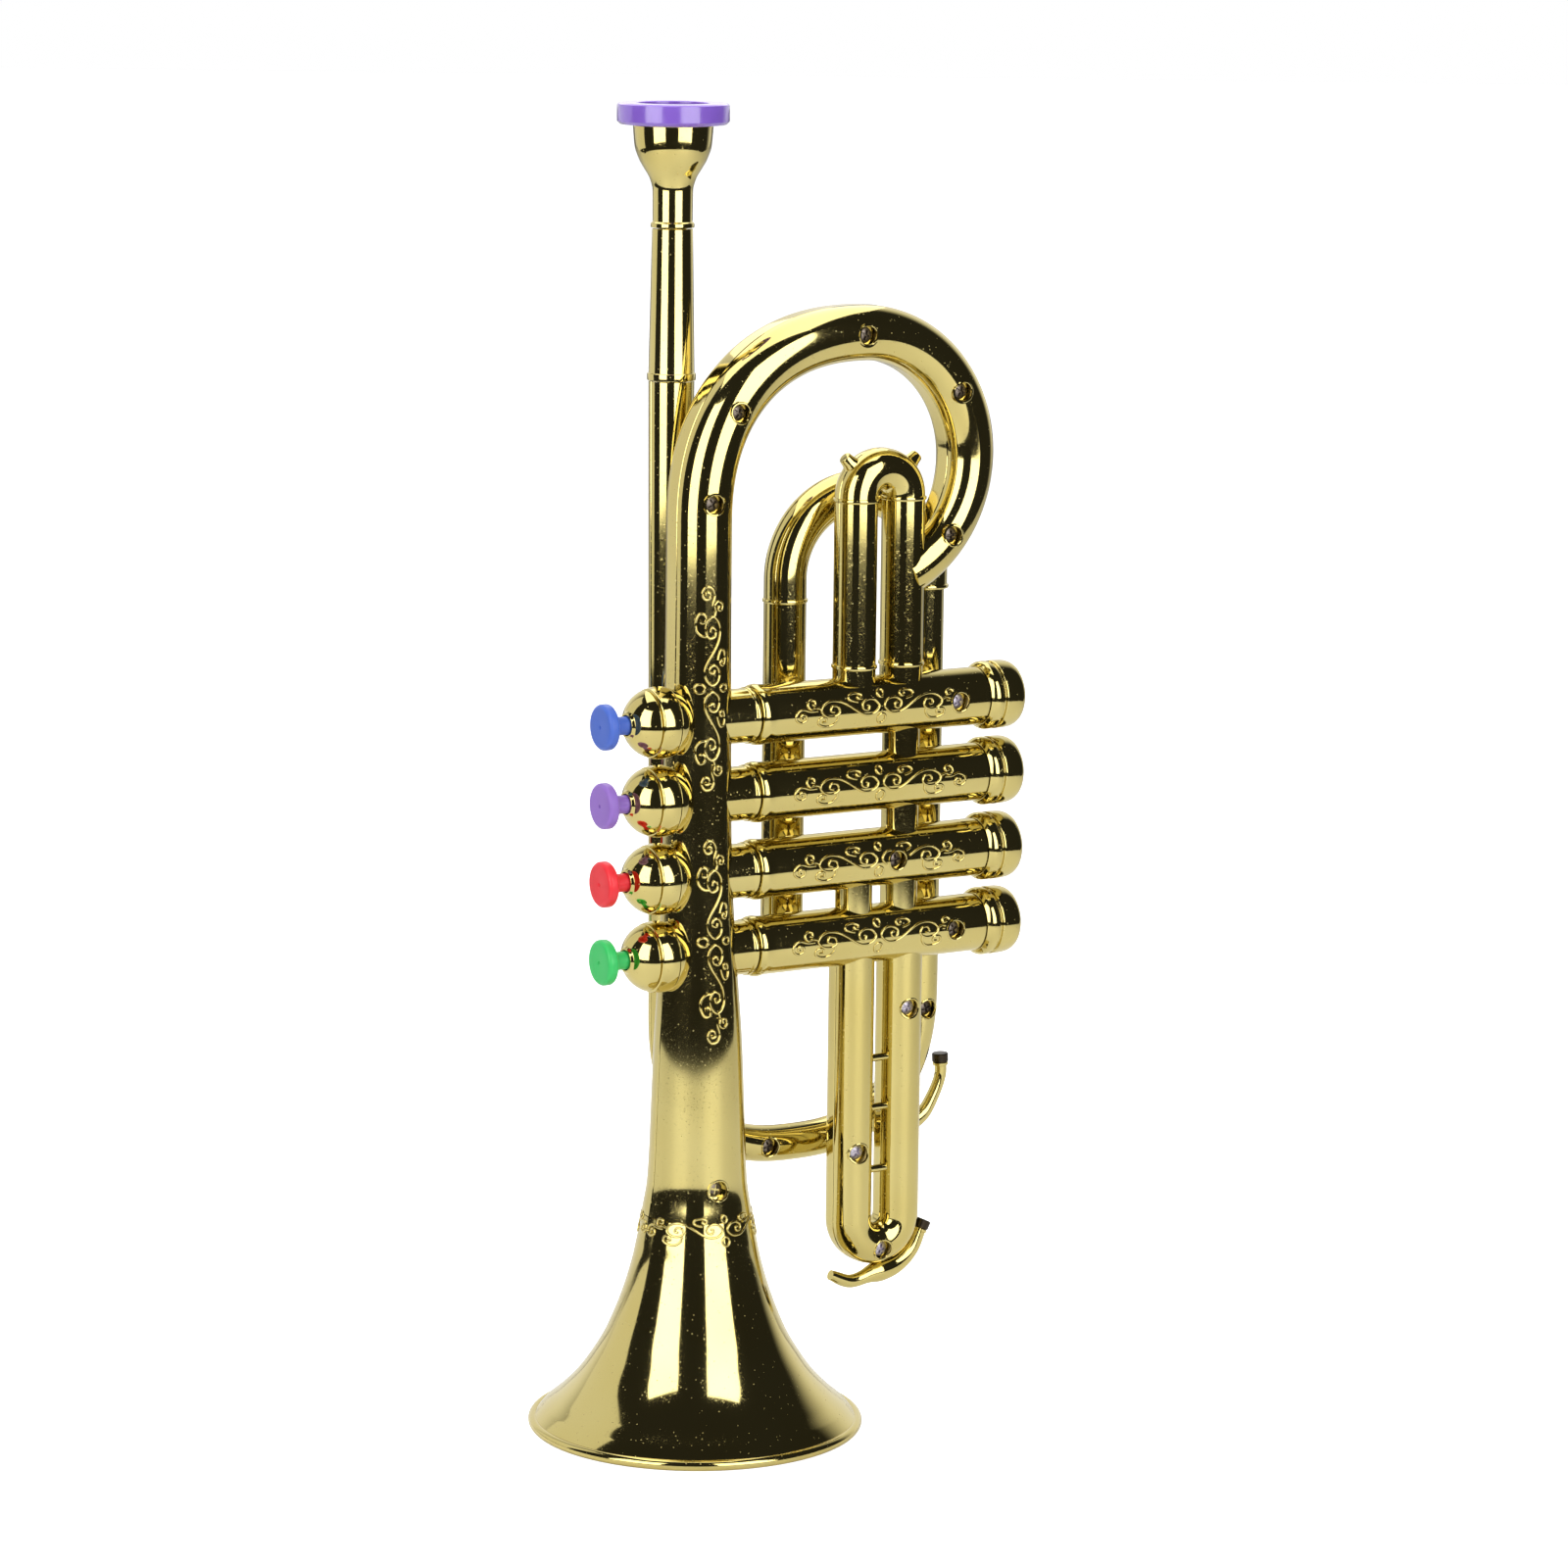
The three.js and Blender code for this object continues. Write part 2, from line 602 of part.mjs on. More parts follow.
// Right-hand parts of the key chambers, with the boss that carries each reed plate
function chambers(skin) {
  return valves.map((index) => {
    const height = valveHeight(index);
    const sphere = (radius) =>
      solid(new THREE.SphereGeometry(radius, ROUND_SIDES, 8).rotateZ(Math.PI / 2).translate(BALL_CENTRE, 0, height));
    const keep = block(BALL_SEAM + SEAM, 0, -BALL_RADIUS, BALL_RADIUS, height - BALL_RADIUS, height + BALL_RADIUS);
    const shell = sphere(BALL_RADIUS).subtract(sphere(BALL_RADIUS - WALL)).intersect(keep);
    const boss = rod("x", CHAMBER_FLOOR_RADIUS, CHAMBER_FLOOR, 0, [0, height]);
    return shell.add(boss).subtract(skin);
  });
}

// Stubs that the casings are pushed on to
function stubs(skin) {
  return valves.map((index) => {
    const at = [0, valveHeight(index)];
    const spigot = CASING_RADIUS - WALL - CLEARANCE;
    const outer = rod("x", STUB_RADIUS, 0, STUB_END, at, ROUND_SIDES).add(
      rod("x", spigot, 0, STUB_END + SPIGOT_LENGTH, at, ROUND_SIDES),
    );
    const bore = rod("x", spigot - WALL, legRadius(at[1]) + WALL, STUB_END + SPIGOT_LENGTH + OVERRUN, at);
    return outer.subtract(bore).subtract(skin);
  });
}

function addBody() {
  const outer = bodyTube(0);
  const skin = bodyTube(-WALL / 2);
  let shell = outer.subtract(bodyTube(-WALL));
  for (const index of valves) {
    const height = valveHeight(index);
    const wallInside = -(legRadius(height) - WALL) / 2;
    shell = shell.subtract(rod("x", PORT_RADIUS, CHAMBER_FLOOR, wallInside, [0, height]));
  }
  shell = join([shell, ...chambers(skin), ...stubs(skin)]);
  for (const index of valves) {
    shell = shell.subtract(
      rod("x", PORT_RADIUS, CHAMBER_FLOOR - OVERRUN, -legRadius(valveHeight(index)) + WALL, [0, valveHeight(index)]),
    );
  }
  shell = shell.subtract(crookTube(CLEARANCE));
  const { loop, bell } = screwSites();
  let [front, rear] = halves(shell);
  front = withWells(front, [...loop, ...bell], outer);
  rear = withPosts(rear, loop, outer);
  const pads = [valveHeight(0) + VALVE_PITCH, valveHeight(VALVE_COUNT - 1) + VALVE_PITCH / 2].map((height) =>
    rod("y", SADDLE_RADIUS, 0, REAR_Y, [LEADPIPE_X, height]).subtract(bodyTube(-WALL / 2)),
  );
  rear = join([rear, ...pads.map((pad) => pad.subtract(leadpipeTube(CLEARANCE)).intersect(block(
    -NECK_RADIUS, NECK_RADIUS, SEAM, REAR_Y, 0, MOUTH_TOP,
  )))]);
  addMesh("body_front", front, GOLD);
  addMesh("body_rear", rear, GOLD);
}

// Key caps, which screw on to the chambers
function keyCapProfile() {
  const onBall = (radius, x) => Math.sqrt(radius ** 2 - (x - BALL_CENTRE) ** 2);
  const inside = BALL_RADIUS - WALL;
  const hole = STEM_RADIUS + CLEARANCE;
  const collarRoot = BALL_CENTRE - Math.sqrt(BALL_RADIUS ** 2 - CAP_COLLAR_RADIUS ** 2);
  const collarFace = BALL_CENTRE - BALL_RADIUS - CAP_COLLAR;
  const edge = BALL_SEAM - SEAM;
  const outerArc = run(5, (share) => {
    const from = Math.asin(CAP_COLLAR_RADIUS / BALL_RADIUS);
    const to = Math.PI - Math.asin(onBall(BALL_RADIUS, edge) / BALL_RADIUS);
    const angle = from + (to - from) * share;
    return [BALL_CENTRE - BALL_RADIUS * Math.cos(angle), BALL_RADIUS * Math.sin(angle)];
  });
  const innerArc = run(3, (share) => {
    const from = Math.PI - Math.asin(onBall(inside, edge) / inside);
    const to = Math.asin(onBall(inside, SEAT_X) / inside);
    const angle = from + (to - from) * share;
    return [BALL_CENTRE - inside * Math.cos(angle), inside * Math.sin(angle)];
  });
  const collar = [
    [collarFace, hole],
    [collarFace, CAP_COLLAR_RADIUS],
    [collarRoot, CAP_COLLAR_RADIUS],
  ];
  return [...collar, ...outerArc.slice(1), ...innerArc, [SEAT_X, hole]];
}

// A button from its face to the pin inside its spring
function buttonProfile() {
  const back = BUTTON_FACE + BUTTON_THICKNESS;
  const flange = SEAT_X + CLEARANCE + SEAL_THICKNESS + CLEARANCE;
  const pin = flange + FLANGE_THICKNESS;
  return [
    [BUTTON_FACE + DIMPLE_DEPTH, 0],
    [BUTTON_FACE, DIMPLE_RADIUS],
    [BUTTON_FACE, BUTTON_RADIUS - BUTTON_ROUND],
    [BUTTON_FACE + BUTTON_ROUND, BUTTON_RADIUS],
    [back - BUTTON_ROUND / 2, BUTTON_RADIUS],
    [back, BUTTON_RADIUS - BUTTON_ROUND],
    [back, STEM_SHOULDER_RADIUS],
    [back + STEM_SHOULDER, STEM_RADIUS],
    [flange, STEM_RADIUS],
    [flange, FLANGE_RADIUS],
    [pin, FLANGE_RADIUS],
    [pin, SPRING_PIN_RADIUS],
    [pin + SPRING_PIN, SPRING_PIN_RADIUS],
    [pin + SPRING_PIN, 0],
  ];
}

const ringProfile = (from, to, inner, outer) => [
  [from, inner],
  [from, outer],
  [to, outer],
  [to, inner],
];

function addKeys() {
  for (const index of valves) {
    const height = valveHeight(index);
    const name = index + 1;
    const seal = SEAT_X + CLEARANCE;
    const springStart = seal + SEAL_THICKNESS + CLEARANCE + FLANGE_THICKNESS + CLEARANCE;
    const plate = CHAMBER_FLOOR - CLEARANCE - PLATE_THICKNESS;
    addMesh(`key_cap_${name}`, turnedX(keyCapProfile(), height), GOLD);
    addMesh(`button_${name}`, turnedX(buttonProfile(), height, SMALL_SIDES), plastic(BUTTON_COLOURS[index]));
    const sealRing = ringProfile(seal, seal + SEAL_THICKNESS, STEM_RADIUS + CLEARANCE, SEAL_RADIUS);
    addMesh(`seal_${name}`, turnedX(sealRing, height, SMALL_SIDES), RUBBER);
    const coil = ringProfile(springStart, plate - CLEARANCE, SPRING_RADIUS - SPRING_WIRE, SPRING_RADIUS);
    addMesh(`spring_${name}`, turnedX(coil, height, SCREW_SIDES), STEEL);
    addReedPlate(name, plate, height);
  }
}

// A brass plate with a slot, and a tongue riveted over the slot
function addReedPlate(name, plate, height) {
  const slot = REED_WIDTH / 2 + CLEARANCE;
  const foot = REED_LENGTH / 2;
  const disc = rod("x", PLATE_RADIUS, plate, plate + PLATE_THICKNESS, [0, height]);
  const window = block(plate - OVERRUN, plate + PLATE_THICKNESS + OVERRUN, -slot, slot, height - foot, height + foot);
  const from = plate + PLATE_THICKNESS - REED_THICKNESS;
  const tongue = block(from, plate + PLATE_THICKNESS, -REED_WIDTH / 2, REED_WIDTH / 2,
    height - foot + CLEARANCE, height + foot + WALL);
  addMesh(`reed_plate_${name}`, disc.subtract(window).add(tongue), BRASS);
}

// The four casings, the posts between them and the rings they start with, as one pair of shells
function addValveBlock() {
  const start = STUB_END + CLEARANCE;
  const posts = [
    [SLIDE_RIGHT, 0, VALVE_COUNT - 1],
    [SLIDE_LEFT, VALVE_COUNT - 2, VALVE_COUNT - 1],
  ].map(([x, upper, lower]) => [
    [x, valveHeight(upper), SLIDE_RADIUS],
    [x, valveHeight(lower), SLIDE_RADIUS],
  ]);
  const post = (route, grow) => tube(route, { sides: SMALL_SIDES, grow, flat: () => SLIDE_REAR_FLAT });
  const casing = (index, radius, from, to) => rod("x", radius, from, to, [0, valveHeight(index)], ROUND_SIDES);
  const outside = join([
    ...valves.map((index) => casing(index, CASING_RADIUS, start, CASING_END)),
    ...valves.map((index) => casing(index, CASING_RADIUS + CASING_RING, start, start + CASING_RING_LENGTH)),
    ...posts.map((route) => post(route, 0)),
  ]);
  const inside = join([
    ...valves.map((index) => casing(index, CASING_RADIUS - WALL, start - OVERRUN, CASING_END + OVERRUN)),
    ...posts.map((route) => post(route, -WALL)),
  ]);
  const shell = outside.subtract(inside).subtract(crookTube(CLEARANCE).intersect(block(
    SLIDE_LEFT - CASING_RADIUS, SLIDE_RIGHT + CASING_RADIUS, CASING_RADIUS, REAR_Y, 0, MOUTH_TOP,
  )));
  let [front, rear] = halves(shell);
  const { valve } = screwSites();
  front = withWells(front, valve, outside);
  rear = withPosts(rear, valve, outside);
  const rearTubes = leadpipeTube(CLEARANCE).add(rearCrookTube(CLEARANCE));
  const saddles = [REAR_LEG_X, REAR_RIGHT_X].flatMap((x) =>
    [0, VALVE_COUNT - 1].map((index) =>
      rod("y", SADDLE_RADIUS, CASING_RADIUS / 2, REAR_Y, [x, valveHeight(index)]).subtract(inside),
    ),
  );
  rear = join([rear, ...saddles.map((saddle) => saddle.subtract(rearTubes))]);
  addMesh("valve_casings_front", front, GOLD);
  addMesh("valve_casings_rear", rear, GOLD);
}

// A pushed-on cap with a flared lip, a groove and a domed end, and a hollow spigot into the casing
function endCapProfile() {
  const start = CASING_END + CLEARANCE;
  const reach = END_CAP_RADIUS - CASING_RADIUS;
  const at = ([along, widen]) => [start + END_CAP_LENGTH * along, CASING_RADIUS + reach * widen];
  const dome = ([along, wide]) => [start + END_CAP_LENGTH * along, END_CAP_RADIUS * wide];
  const spigot = CASING_RADIUS - WALL - CLEARANCE;
  return [
    [start - SPIGOT_LENGTH, spigot - WALL],
    [start - SPIGOT_LENGTH, spigot],
    [start, spigot],
    ...END_CAP_SHARES.map(at),
    ...GROOVE_SHARES.map((along) => [start + END_CAP_LENGTH * along, END_CAP_RADIUS - END_CAP_GROOVE]),
    ...DOME_SHARES.map(dome),
    [start + END_CAP_LENGTH, 0],
    [start + END_CAP_LENGTH - WALL, 0],
    [start + END_CAP_LENGTH - WALL, spigot - WALL],
  ];
}

function addEndCaps() {
  for (const index of valves) {
    const profile = endCapProfile();
    const axisEnd = profile.findIndex(([, radius]) => radius === 0);
    const around = [...profile.slice(axisEnd + 1), ...profile.slice(0, axisEnd + 1)];
    addMesh(`end_cap_${index + 1}`, turnedX(around, valveHeight(index)), GOLD);
  }
}

function addUpperCrook() {
  const ferrules = [SLIDE_LEFT, SLIDE_RIGHT].flatMap((x) =>
    CROOK_FERRULES.map((height) => ferrule(x, height, CROOK_REAR_FLAT)),
  );
  const studs = [Math.PI / 4, (3 * Math.PI) / 4].map((angle) => {
    const reach = slideSpread + SLIDE_RADIUS;
    const spring = CROOK_TOP - reach;
    const geometry = new THREE.CylinderGeometry(STUD_RADIUS, STUD_RADIUS, STUD_LENGTH + WALL / 2, SCREW_SIDES);
    const middle = reach + (STUD_LENGTH - WALL / 2) / 2;
    geometry.rotateX(Math.PI / 2).translate(0, 0, middle).rotateY(Math.PI / 2 - angle);
    return solid(geometry.translate(slideCentre, 0, spring));
  });
  const bore = crookTube(-WALL);
  const outside = join([crookTube(0), ...ferrules]);
  const casing = rod("x", CASING_RADIUS + CLEARANCE, STUB_END, CASING_END, [0, valveHeight(0)], ROUND_SIDES);
  const [front, rear] = halves(join([outside.subtract(bore), ...studs.map((stud) => stud.subtract(bore))]).subtract(casing));
  addMesh("upper_crook_front", front, GOLD);
  addMesh("upper_crook_rear", rear, GOLD);
}

function addFrontSlide() {
  const bore = slideTube(-WALL);
  const outside = slideTube(0);
  const bars = BAR_HEIGHTS.map((height) => rod("x", BAR_RADIUS, SLIDE_LEFT, SLIDE_RIGHT, [-SLIDE_RADIUS / 2, height], SCREW_SIDES));
  const last = [0, valveHeight(VALVE_COUNT - 1)];
  const casing = rod("x", CASING_RADIUS + CLEARANCE, STUB_END, CASING_END, last, ROUND_SIDES);
  const shell = join([outside, ...bars]).subtract(bore).subtract(casing);
  const below = block(0, CASING_END, -NECK_RADIUS, NECK_RADIUS, 0, last[1]);
  let [front, rear] = halves(shell.intersect(below));
  const { slide } = screwSites();
  front = withWells(front, slide, outside);
  rear = withPosts(rear, slide, outside);
  addMesh("front_slide_front", front, GOLD);
  addMesh("front_slide_rear", rear, GOLD);
}

function addRearTubing() {
  const shell = leadpipeTube(0).subtract(tube(withWall(leadpipeRoute()), { y: REAR_Y }));
  let [front, rear] = halves(shell, REAR_Y);
  const { tuning: sites } = screwSites();
  const outer = leadpipeTube(0);
  front = withWells(front, sites, outer);
  rear = withPosts(rear, sites, outer);
  addMesh("leadpipe_front", front, GOLD);
  addMesh("leadpipe_rear", rear, GOLD);
  const rings = [REAR_LEG_X, REAR_RIGHT_X].map((x) => {
    const low = REAR_JOINT + (x === REAR_RIGHT_X ? 0 : -FERRULE_LENGTH);
    const route = [low, low + FERRULE_LENGTH].map((height) => [x, height, REAR_CROOK_RADIUS + FERRULE]);
    return tube(route, { y: REAR_Y });
  });
  const foot = rod("z", REAR_CROOK_RADIUS - WALL / 2, REAR_LEG_FOOT, REAR_LEG_FOOT + WALL, [REAR_LEG_X, REAR_Y]);
  const bore = rearCrookTube(-WALL);
  const crook = join([join([rearCrookTube(0), ...rings]).subtract(bore), foot]);
  const [crookFront, crookRear] = halves(crook, REAR_Y);
  addMesh("rear_crook_front", crookFront, GOLD);
  addMesh("rear_crook_rear", crookRear, GOLD);
}

// The bore of a stepped route keeps the wall at its narrowest station
function withWall(route) {
  const narrowest = Math.min(...route.map(([, , radius]) => radius)) - WALL;
  return route.map(([x, z, radius], index) => [x, z, index < 3 ? narrowest : radius - WALL]);
}

function addMouthpiece() {
  const under = MOUTH_TOP - MOUTH_RING_HEIGHT;
  const ring = [
    [under, MOUTH_OPENING],
    [under, MOUTH_RING_RADIUS - MOUTH_RING_EDGE],
    [under + MOUTH_RING_EDGE, MOUTH_RING_RADIUS],
    [MOUTH_TOP - MOUTH_RING_EDGE, MOUTH_RING_RADIUS],
    [MOUTH_TOP - MOUTH_RING_EDGE / 3, MOUTH_RING_RADIUS - MOUTH_RING_EDGE],
    [MOUTH_TOP, MOUTH_OPENING + MOUTH_RING_EDGE],
    [MOUTH_TOP - MOUTH_RING_EDGE / 3, MOUTH_OPENING],
  ];
  const ringMesh = turnedZ(ring, LEADPIPE_X, REAR_Y, MOUTH_SIDES);
  addMesh("mouth_ring", ringMesh, plastic(MOUTH_COLOUR));
  const top = under - CLEARANCE;
  const height = top - cupBottom;
  const outer = CUP_SHARES.map(([down, wide]) => [
    top - height * down,
    SHANK_RADIUS + (CUP_RADIUS - SHANK_RADIUS) * wide,
  ]);
  const bowl = run(5, (share) => {
    const angle = (Math.PI / 2) * share;
    const wide = CUP_RADIUS - WALL;
    return [top - CUP_DEPTH * Math.sin(angle), CUP_THROAT + (wide - CUP_THROAT) * Math.cos(angle)];
  });
  const ringTop = cupBottom + FERRULE_LENGTH;
  const cup = [
    ...outer,
    [ringTop, SLEEVE_TOP_RADIUS + FERRULE],
    [cupBottom, SLEEVE_TOP_RADIUS + FERRULE],
    [cupBottom, SLEEVE_TOP_RADIUS - WALL - CLEARANCE],
    [cupBottom - SHANK_LENGTH, SLEEVE_TOP_RADIUS - WALL - CLEARANCE],
    [cupBottom - SHANK_LENGTH, CUP_THROAT],
    ...bowl.reverse(),
  ];
  addMesh("mouthpiece_cup", turnedZ(cup.reverse(), LEADPIPE_X, REAR_Y, MOUTH_SIDES), GOLD);
  const head = cupBottom - CLEARANCE;
  const foot = leadpipeTop + CLEARANCE;
  const sleeve = [
    [head, SLEEVE_TOP_RADIUS - WALL],
    [head, SLEEVE_TOP_RADIUS],
    [(head + foot) / 2, (SLEEVE_TOP_RADIUS + SLEEVE_FOOT_RADIUS) / 2],
    [foot + SLEEVE_RING, SLEEVE_FOOT_RADIUS],
    [foot + SLEEVE_RING, SLEEVE_FOOT_RADIUS + FERRULE],
    [foot, SLEEVE_FOOT_RADIUS + FERRULE],
    [foot, SLEEVE_TOP_RADIUS - WALL],
  ];
  addMesh("mouthpipe_sleeve", turnedZ(sleeve.reverse(), LEADPIPE_X, REAR_Y, ROUND_SIDES), GOLD);
}

// A bent rod through points in an upright plane, with a turned tip on its free ends
function hook(places, y, tips) {
  const curve = new THREE.CatmullRomCurve3(places.map(([x, z]) => new THREE.Vector3(x, y, z)));
  const section = new THREE.Shape(
    run(SCREW_SIDES, (share) => new THREE.Vector2(
      HOOK_RADIUS * Math.cos(2 * Math.PI * share),
      HOOK_RADIUS * Math.sin(2 * Math.PI * share),
    )).slice(0, -1),
  );
  const rodGeometry = new THREE.ExtrudeGeometry(section, { steps: 14, extrudePath: curve, bevelEnabled: false });
  const ends = tips.map((end) => {
    const place = curve.getPoint(end);
    const along = curve.getTangent(end).multiplyScalar(end > 0 ? 1 : -1);
    const geometry = new THREE.CylinderGeometry(HOOK_TIP_RADIUS, HOOK_TIP_RADIUS, HOOK_TIP, SCREW_SIDES);
    const turn = new THREE.Quaternion().setFromUnitVectors(new THREE.Vector3(0, 1, 0), along);
    geometry.applyQuaternion(turn).translate(place.x, place.y, place.z);
    return solid(geometry);
  });
  return join([solid(rodGeometry), ...ends]);
}

function addHooks() {
  const front = FRONT_HOOK.map(([along, up]) => [SLIDE_LEFT + along, SLIDE_BOTTOM + up]);
  const from = SLIDE_BOTTOM - HOOK_RADIUS * 2;
  const at = [slideCentre + HOOK_RADIUS, 0];
  const seat = rod("z", HOOK_RADIUS, from, SLIDE_BOTTOM + HOOK_RADIUS, at, SCREW_SIDES);
  addMesh("front_hook", hook(front, 0, [1]).add(seat).subtract(slideTube(CLEARANCE)), GOLD);
  const rear = REAR_HOOK.map(([along, up]) => [REAR_RIGHT_X + along, TUNING_BOTTOM + up]);
  addMesh("rear_hook", hook(rear, REAR_Y, [1]).subtract(leadpipeTube(CLEARANCE)), GOLD);
}

function addScrews() {
  const groups = screwSites();
  for (const [name, sites] of Object.entries(groups)) {
    sites.forEach((site, index) => addMesh(`${name}_screw_${index + 1}`, screw(site), CHROME));
  }
}

addBell();
addBody();
addKeys();
addValveBlock();
addEndCaps();
addUpperCrook();
addFrontSlide();
addRearTubing();
addMouthpiece();
addHooks();
addScrews();

// The origin is under the middle of the whole toy, on the surface it stands on
const box = new THREE.Box3().setFromObject(trumpet);
const centre = box.getCenter(new THREE.Vector3());
trumpet.position.set(-centre.x, -centre.y, -box.min.z);

export default trumpet;
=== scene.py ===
"""A four-key toy trumpet in gold plating, standing on its bell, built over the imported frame."""

import math

import bmesh
import bpy
import numpy as np
from bpy.props import FloatProperty, FloatVectorProperty, IntProperty, PointerProperty
from mathutils import Matrix, Vector


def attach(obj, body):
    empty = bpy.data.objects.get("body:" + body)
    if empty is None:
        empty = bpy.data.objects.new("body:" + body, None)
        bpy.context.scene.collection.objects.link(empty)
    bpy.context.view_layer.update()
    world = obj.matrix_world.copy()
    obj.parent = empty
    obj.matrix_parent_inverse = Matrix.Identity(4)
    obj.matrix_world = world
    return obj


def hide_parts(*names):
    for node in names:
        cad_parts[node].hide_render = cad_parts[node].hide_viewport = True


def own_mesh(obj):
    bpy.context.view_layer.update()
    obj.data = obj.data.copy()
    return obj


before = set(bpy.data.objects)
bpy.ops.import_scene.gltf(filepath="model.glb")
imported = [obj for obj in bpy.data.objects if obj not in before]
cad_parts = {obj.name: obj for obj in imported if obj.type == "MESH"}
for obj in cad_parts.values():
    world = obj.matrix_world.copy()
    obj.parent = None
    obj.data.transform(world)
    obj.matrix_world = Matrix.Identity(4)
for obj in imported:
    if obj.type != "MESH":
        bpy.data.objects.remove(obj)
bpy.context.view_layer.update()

bl_info = {
    "name": "Toy Trumpet",
    "version": (1, 0, 0),
    "blender": (4, 5, 0),
    "location": "3D View > Sidebar > Toy Trumpet",
    "description": "Builds a four-key toy trumpet of plated plastic over its frame",
    "category": "Object",
}

# Lengths are in millimetres of the drawing, whose X starts on the bell's axis
MM = 0.001
FRAME_X = 28.21

# Walls and fits
SEAM = 0.15
CLEARANCE = 0.3
EDGE = 0.16

# Bell: share of the height, and share of the flare
BELL_SHARES = (
    (0.09, 0.9), (0.145, 0.77), (0.239, 0.592), (0.332, 0.46), (0.424, 0.35),
    (0.518, 0.265), (0.611, 0.193), (0.703, 0.133), (0.796, 0.083), (0.888, 0.045),
    (1.0, 0.0),
)
RIM_FLAT = 1.8
ROLL_START = 0.62 * math.pi
NECK_SPIGOT = 12
NECK_SPIGOT_RADIUS = 12.4
NECK_SPIGOT_TAPER = 0.4

# Bell tube and loop: share of the straight leg's height, and share of the widening
TUBE_RADIUS = 8.25
LOOP_END_RADIUS = 6.4
LOOP_TOP = 312.2
LOOP_LEFT_RADIUS = 51.7
LOOP_RIGHT_RADIUS = 36.6
LOOP_SQUARENESS = 2.3
LOOP_LEFT_SHARE = 7 / 16
REAR_FLAT = 4.6
REAR_ROUND_SHARE = 0.83
LEG_SHARES = (
    (0.0, 1.0), (0.05, 0.81), (0.17, 0.67), (0.25, 0.575), (0.33, 0.42), (0.39, 0.29),
    (0.47, 0.175), (0.55, 0.1), (0.72, 0.045), (0.86, 0.01), (1.0, 0.0),
)

# Valves: the profiles are steps along X from the stub's end or the casing's start, and out from the radius
VALVE_HEIGHTS = (205.3, 183.0, 160.7, 138.4)
STUB_RADIUS = 7.8
STUB_START = 3
STUB_LEAD = 0.5
STUB_END = 15.6
STUB_FLANGE = ((-2.2, 0.0), (-1.6, 0.0), (-1.3, 0.3), (-0.5, 0.35), (0.0, -0.1))
CASING_RADIUS = 8.45
CASING_END = 92
CASING_LEAD = 1
CASING_SHOULDER = (
    (0.0, -0.55), (0.15, -0.2), (0.5, 0.05), (1.1, 0.25), (1.9, 0.35), (2.6, 0.25),
    (3.3, 0.1), (4.3, 0.0), (4.9, 0.0),
)
SPIGOT_LENGTH = 5

# Key chambers and keys
BALL_CENTRE = -14
BALL_RADIUS = 10.2
BALL_OPENING = 0.3
BALL_SEAM = -11.6
SEAM_EASE = 0.15
BALL_GROOVE = -17.3
GROOVE_EASE = 0.7
CAP_FACE = 0.1
CAP_FACE_WIDTH = 0.5
CAP_FACE_FOOT = 1.1
SEAT_X = -20.5
BUTTON_FACE = -32.6
BUTTON_RADIUS = 6.5
BUTTON_THICKNESS = 3.3
BUTTON_EDGE = 0.7
BUTTON_RIM = 0.5
BUTTON_GATE = ((0.55, 0.0), (0.5, 0.42), (0.12, 0.6), (0.1, 0.8), (0.02, 3.5))
STEM_RADIUS = 2.6
STEM_SHOULDER_RADIUS = 3.9
STEM_SHOULDER = 1
SEAL_RADIUS = 5.2
SEAL_THICKNESS = 1.2
FLANGE_RADIUS = 5
FLANGE_THICKNESS = 1.2
PIN_RADIUS = 1.6
PIN_LENGTH = 1.3
SPRING_START = -17.2
SPRING_END = -12.4
SPRING_RADIUS = 4.2
SPRING_WIRE = 0.32
SPRING_TURNS = 4

# End caps: share of the length, and radius
END_CAP_LENGTH = 12.2
END_CAP_PROFILE = (
    (0.0, 8.6), (0.03, 8.95), (0.06, 9.38), (0.1, 9.72), (0.14, 9.89), (0.2, 9.95),
    (0.28, 9.95), (0.305, 9.8), (0.32, 9.25), (0.37, 9.25), (0.385, 9.8), (0.41, 9.95),
    (0.55, 9.95), (0.7, 9.9), (0.8, 9.72), (0.87, 9.4), (0.93, 8.9), (0.97, 8.2),
    (0.99, 7.4), (1.0, 6.4),
)

# Twin tubes: the upper crook, the front slide and the tubing between the casings
SLIDE_LEFT = 51.8
SLIDE_RIGHT = 68
SLIDE_RADIUS = 6.05
SLIDE_REAR_FLAT = 2.3
TUBING_LEFT = 52
TUBING_RIGHT = 67.3
TUBING_RADIUS = 4.9
TUBING_REAR_FLAT = 1.9
CROOK_LEFT = 50.9
CROOK_RIGHT = 66.8
CROOK_RADIUS = 5.9
CROOK_REAR_FLAT = 1.3
CROOK_TOP = 279.2
SLIDE_BOTTOM = 39.7
FERRULE = 0.42
FERRULE_LENGTH = 1.3
FERRULE_EDGE = ((0.0, -0.42), (0.15, -0.1), (0.35, 0.0))
CROOK_FERRULES = (264.6, 216.8)
TWIN_OVERLAP = 5
STUD_PROFILE = ((-1.0, 2.8), (0.1, 2.5), (0.8, 2.15), (2.6, 1.85), (2.85, 1.65), (2.9, 1.35))
STUD_ANGLES = (math.radians(42), math.radians(136))
STUD_DEPTH = 0.8
BAR_RADIUS = 1.1
BAR_INSET = 3
BAR_HEIGHTS = (101.6, 86.9, 68.4)

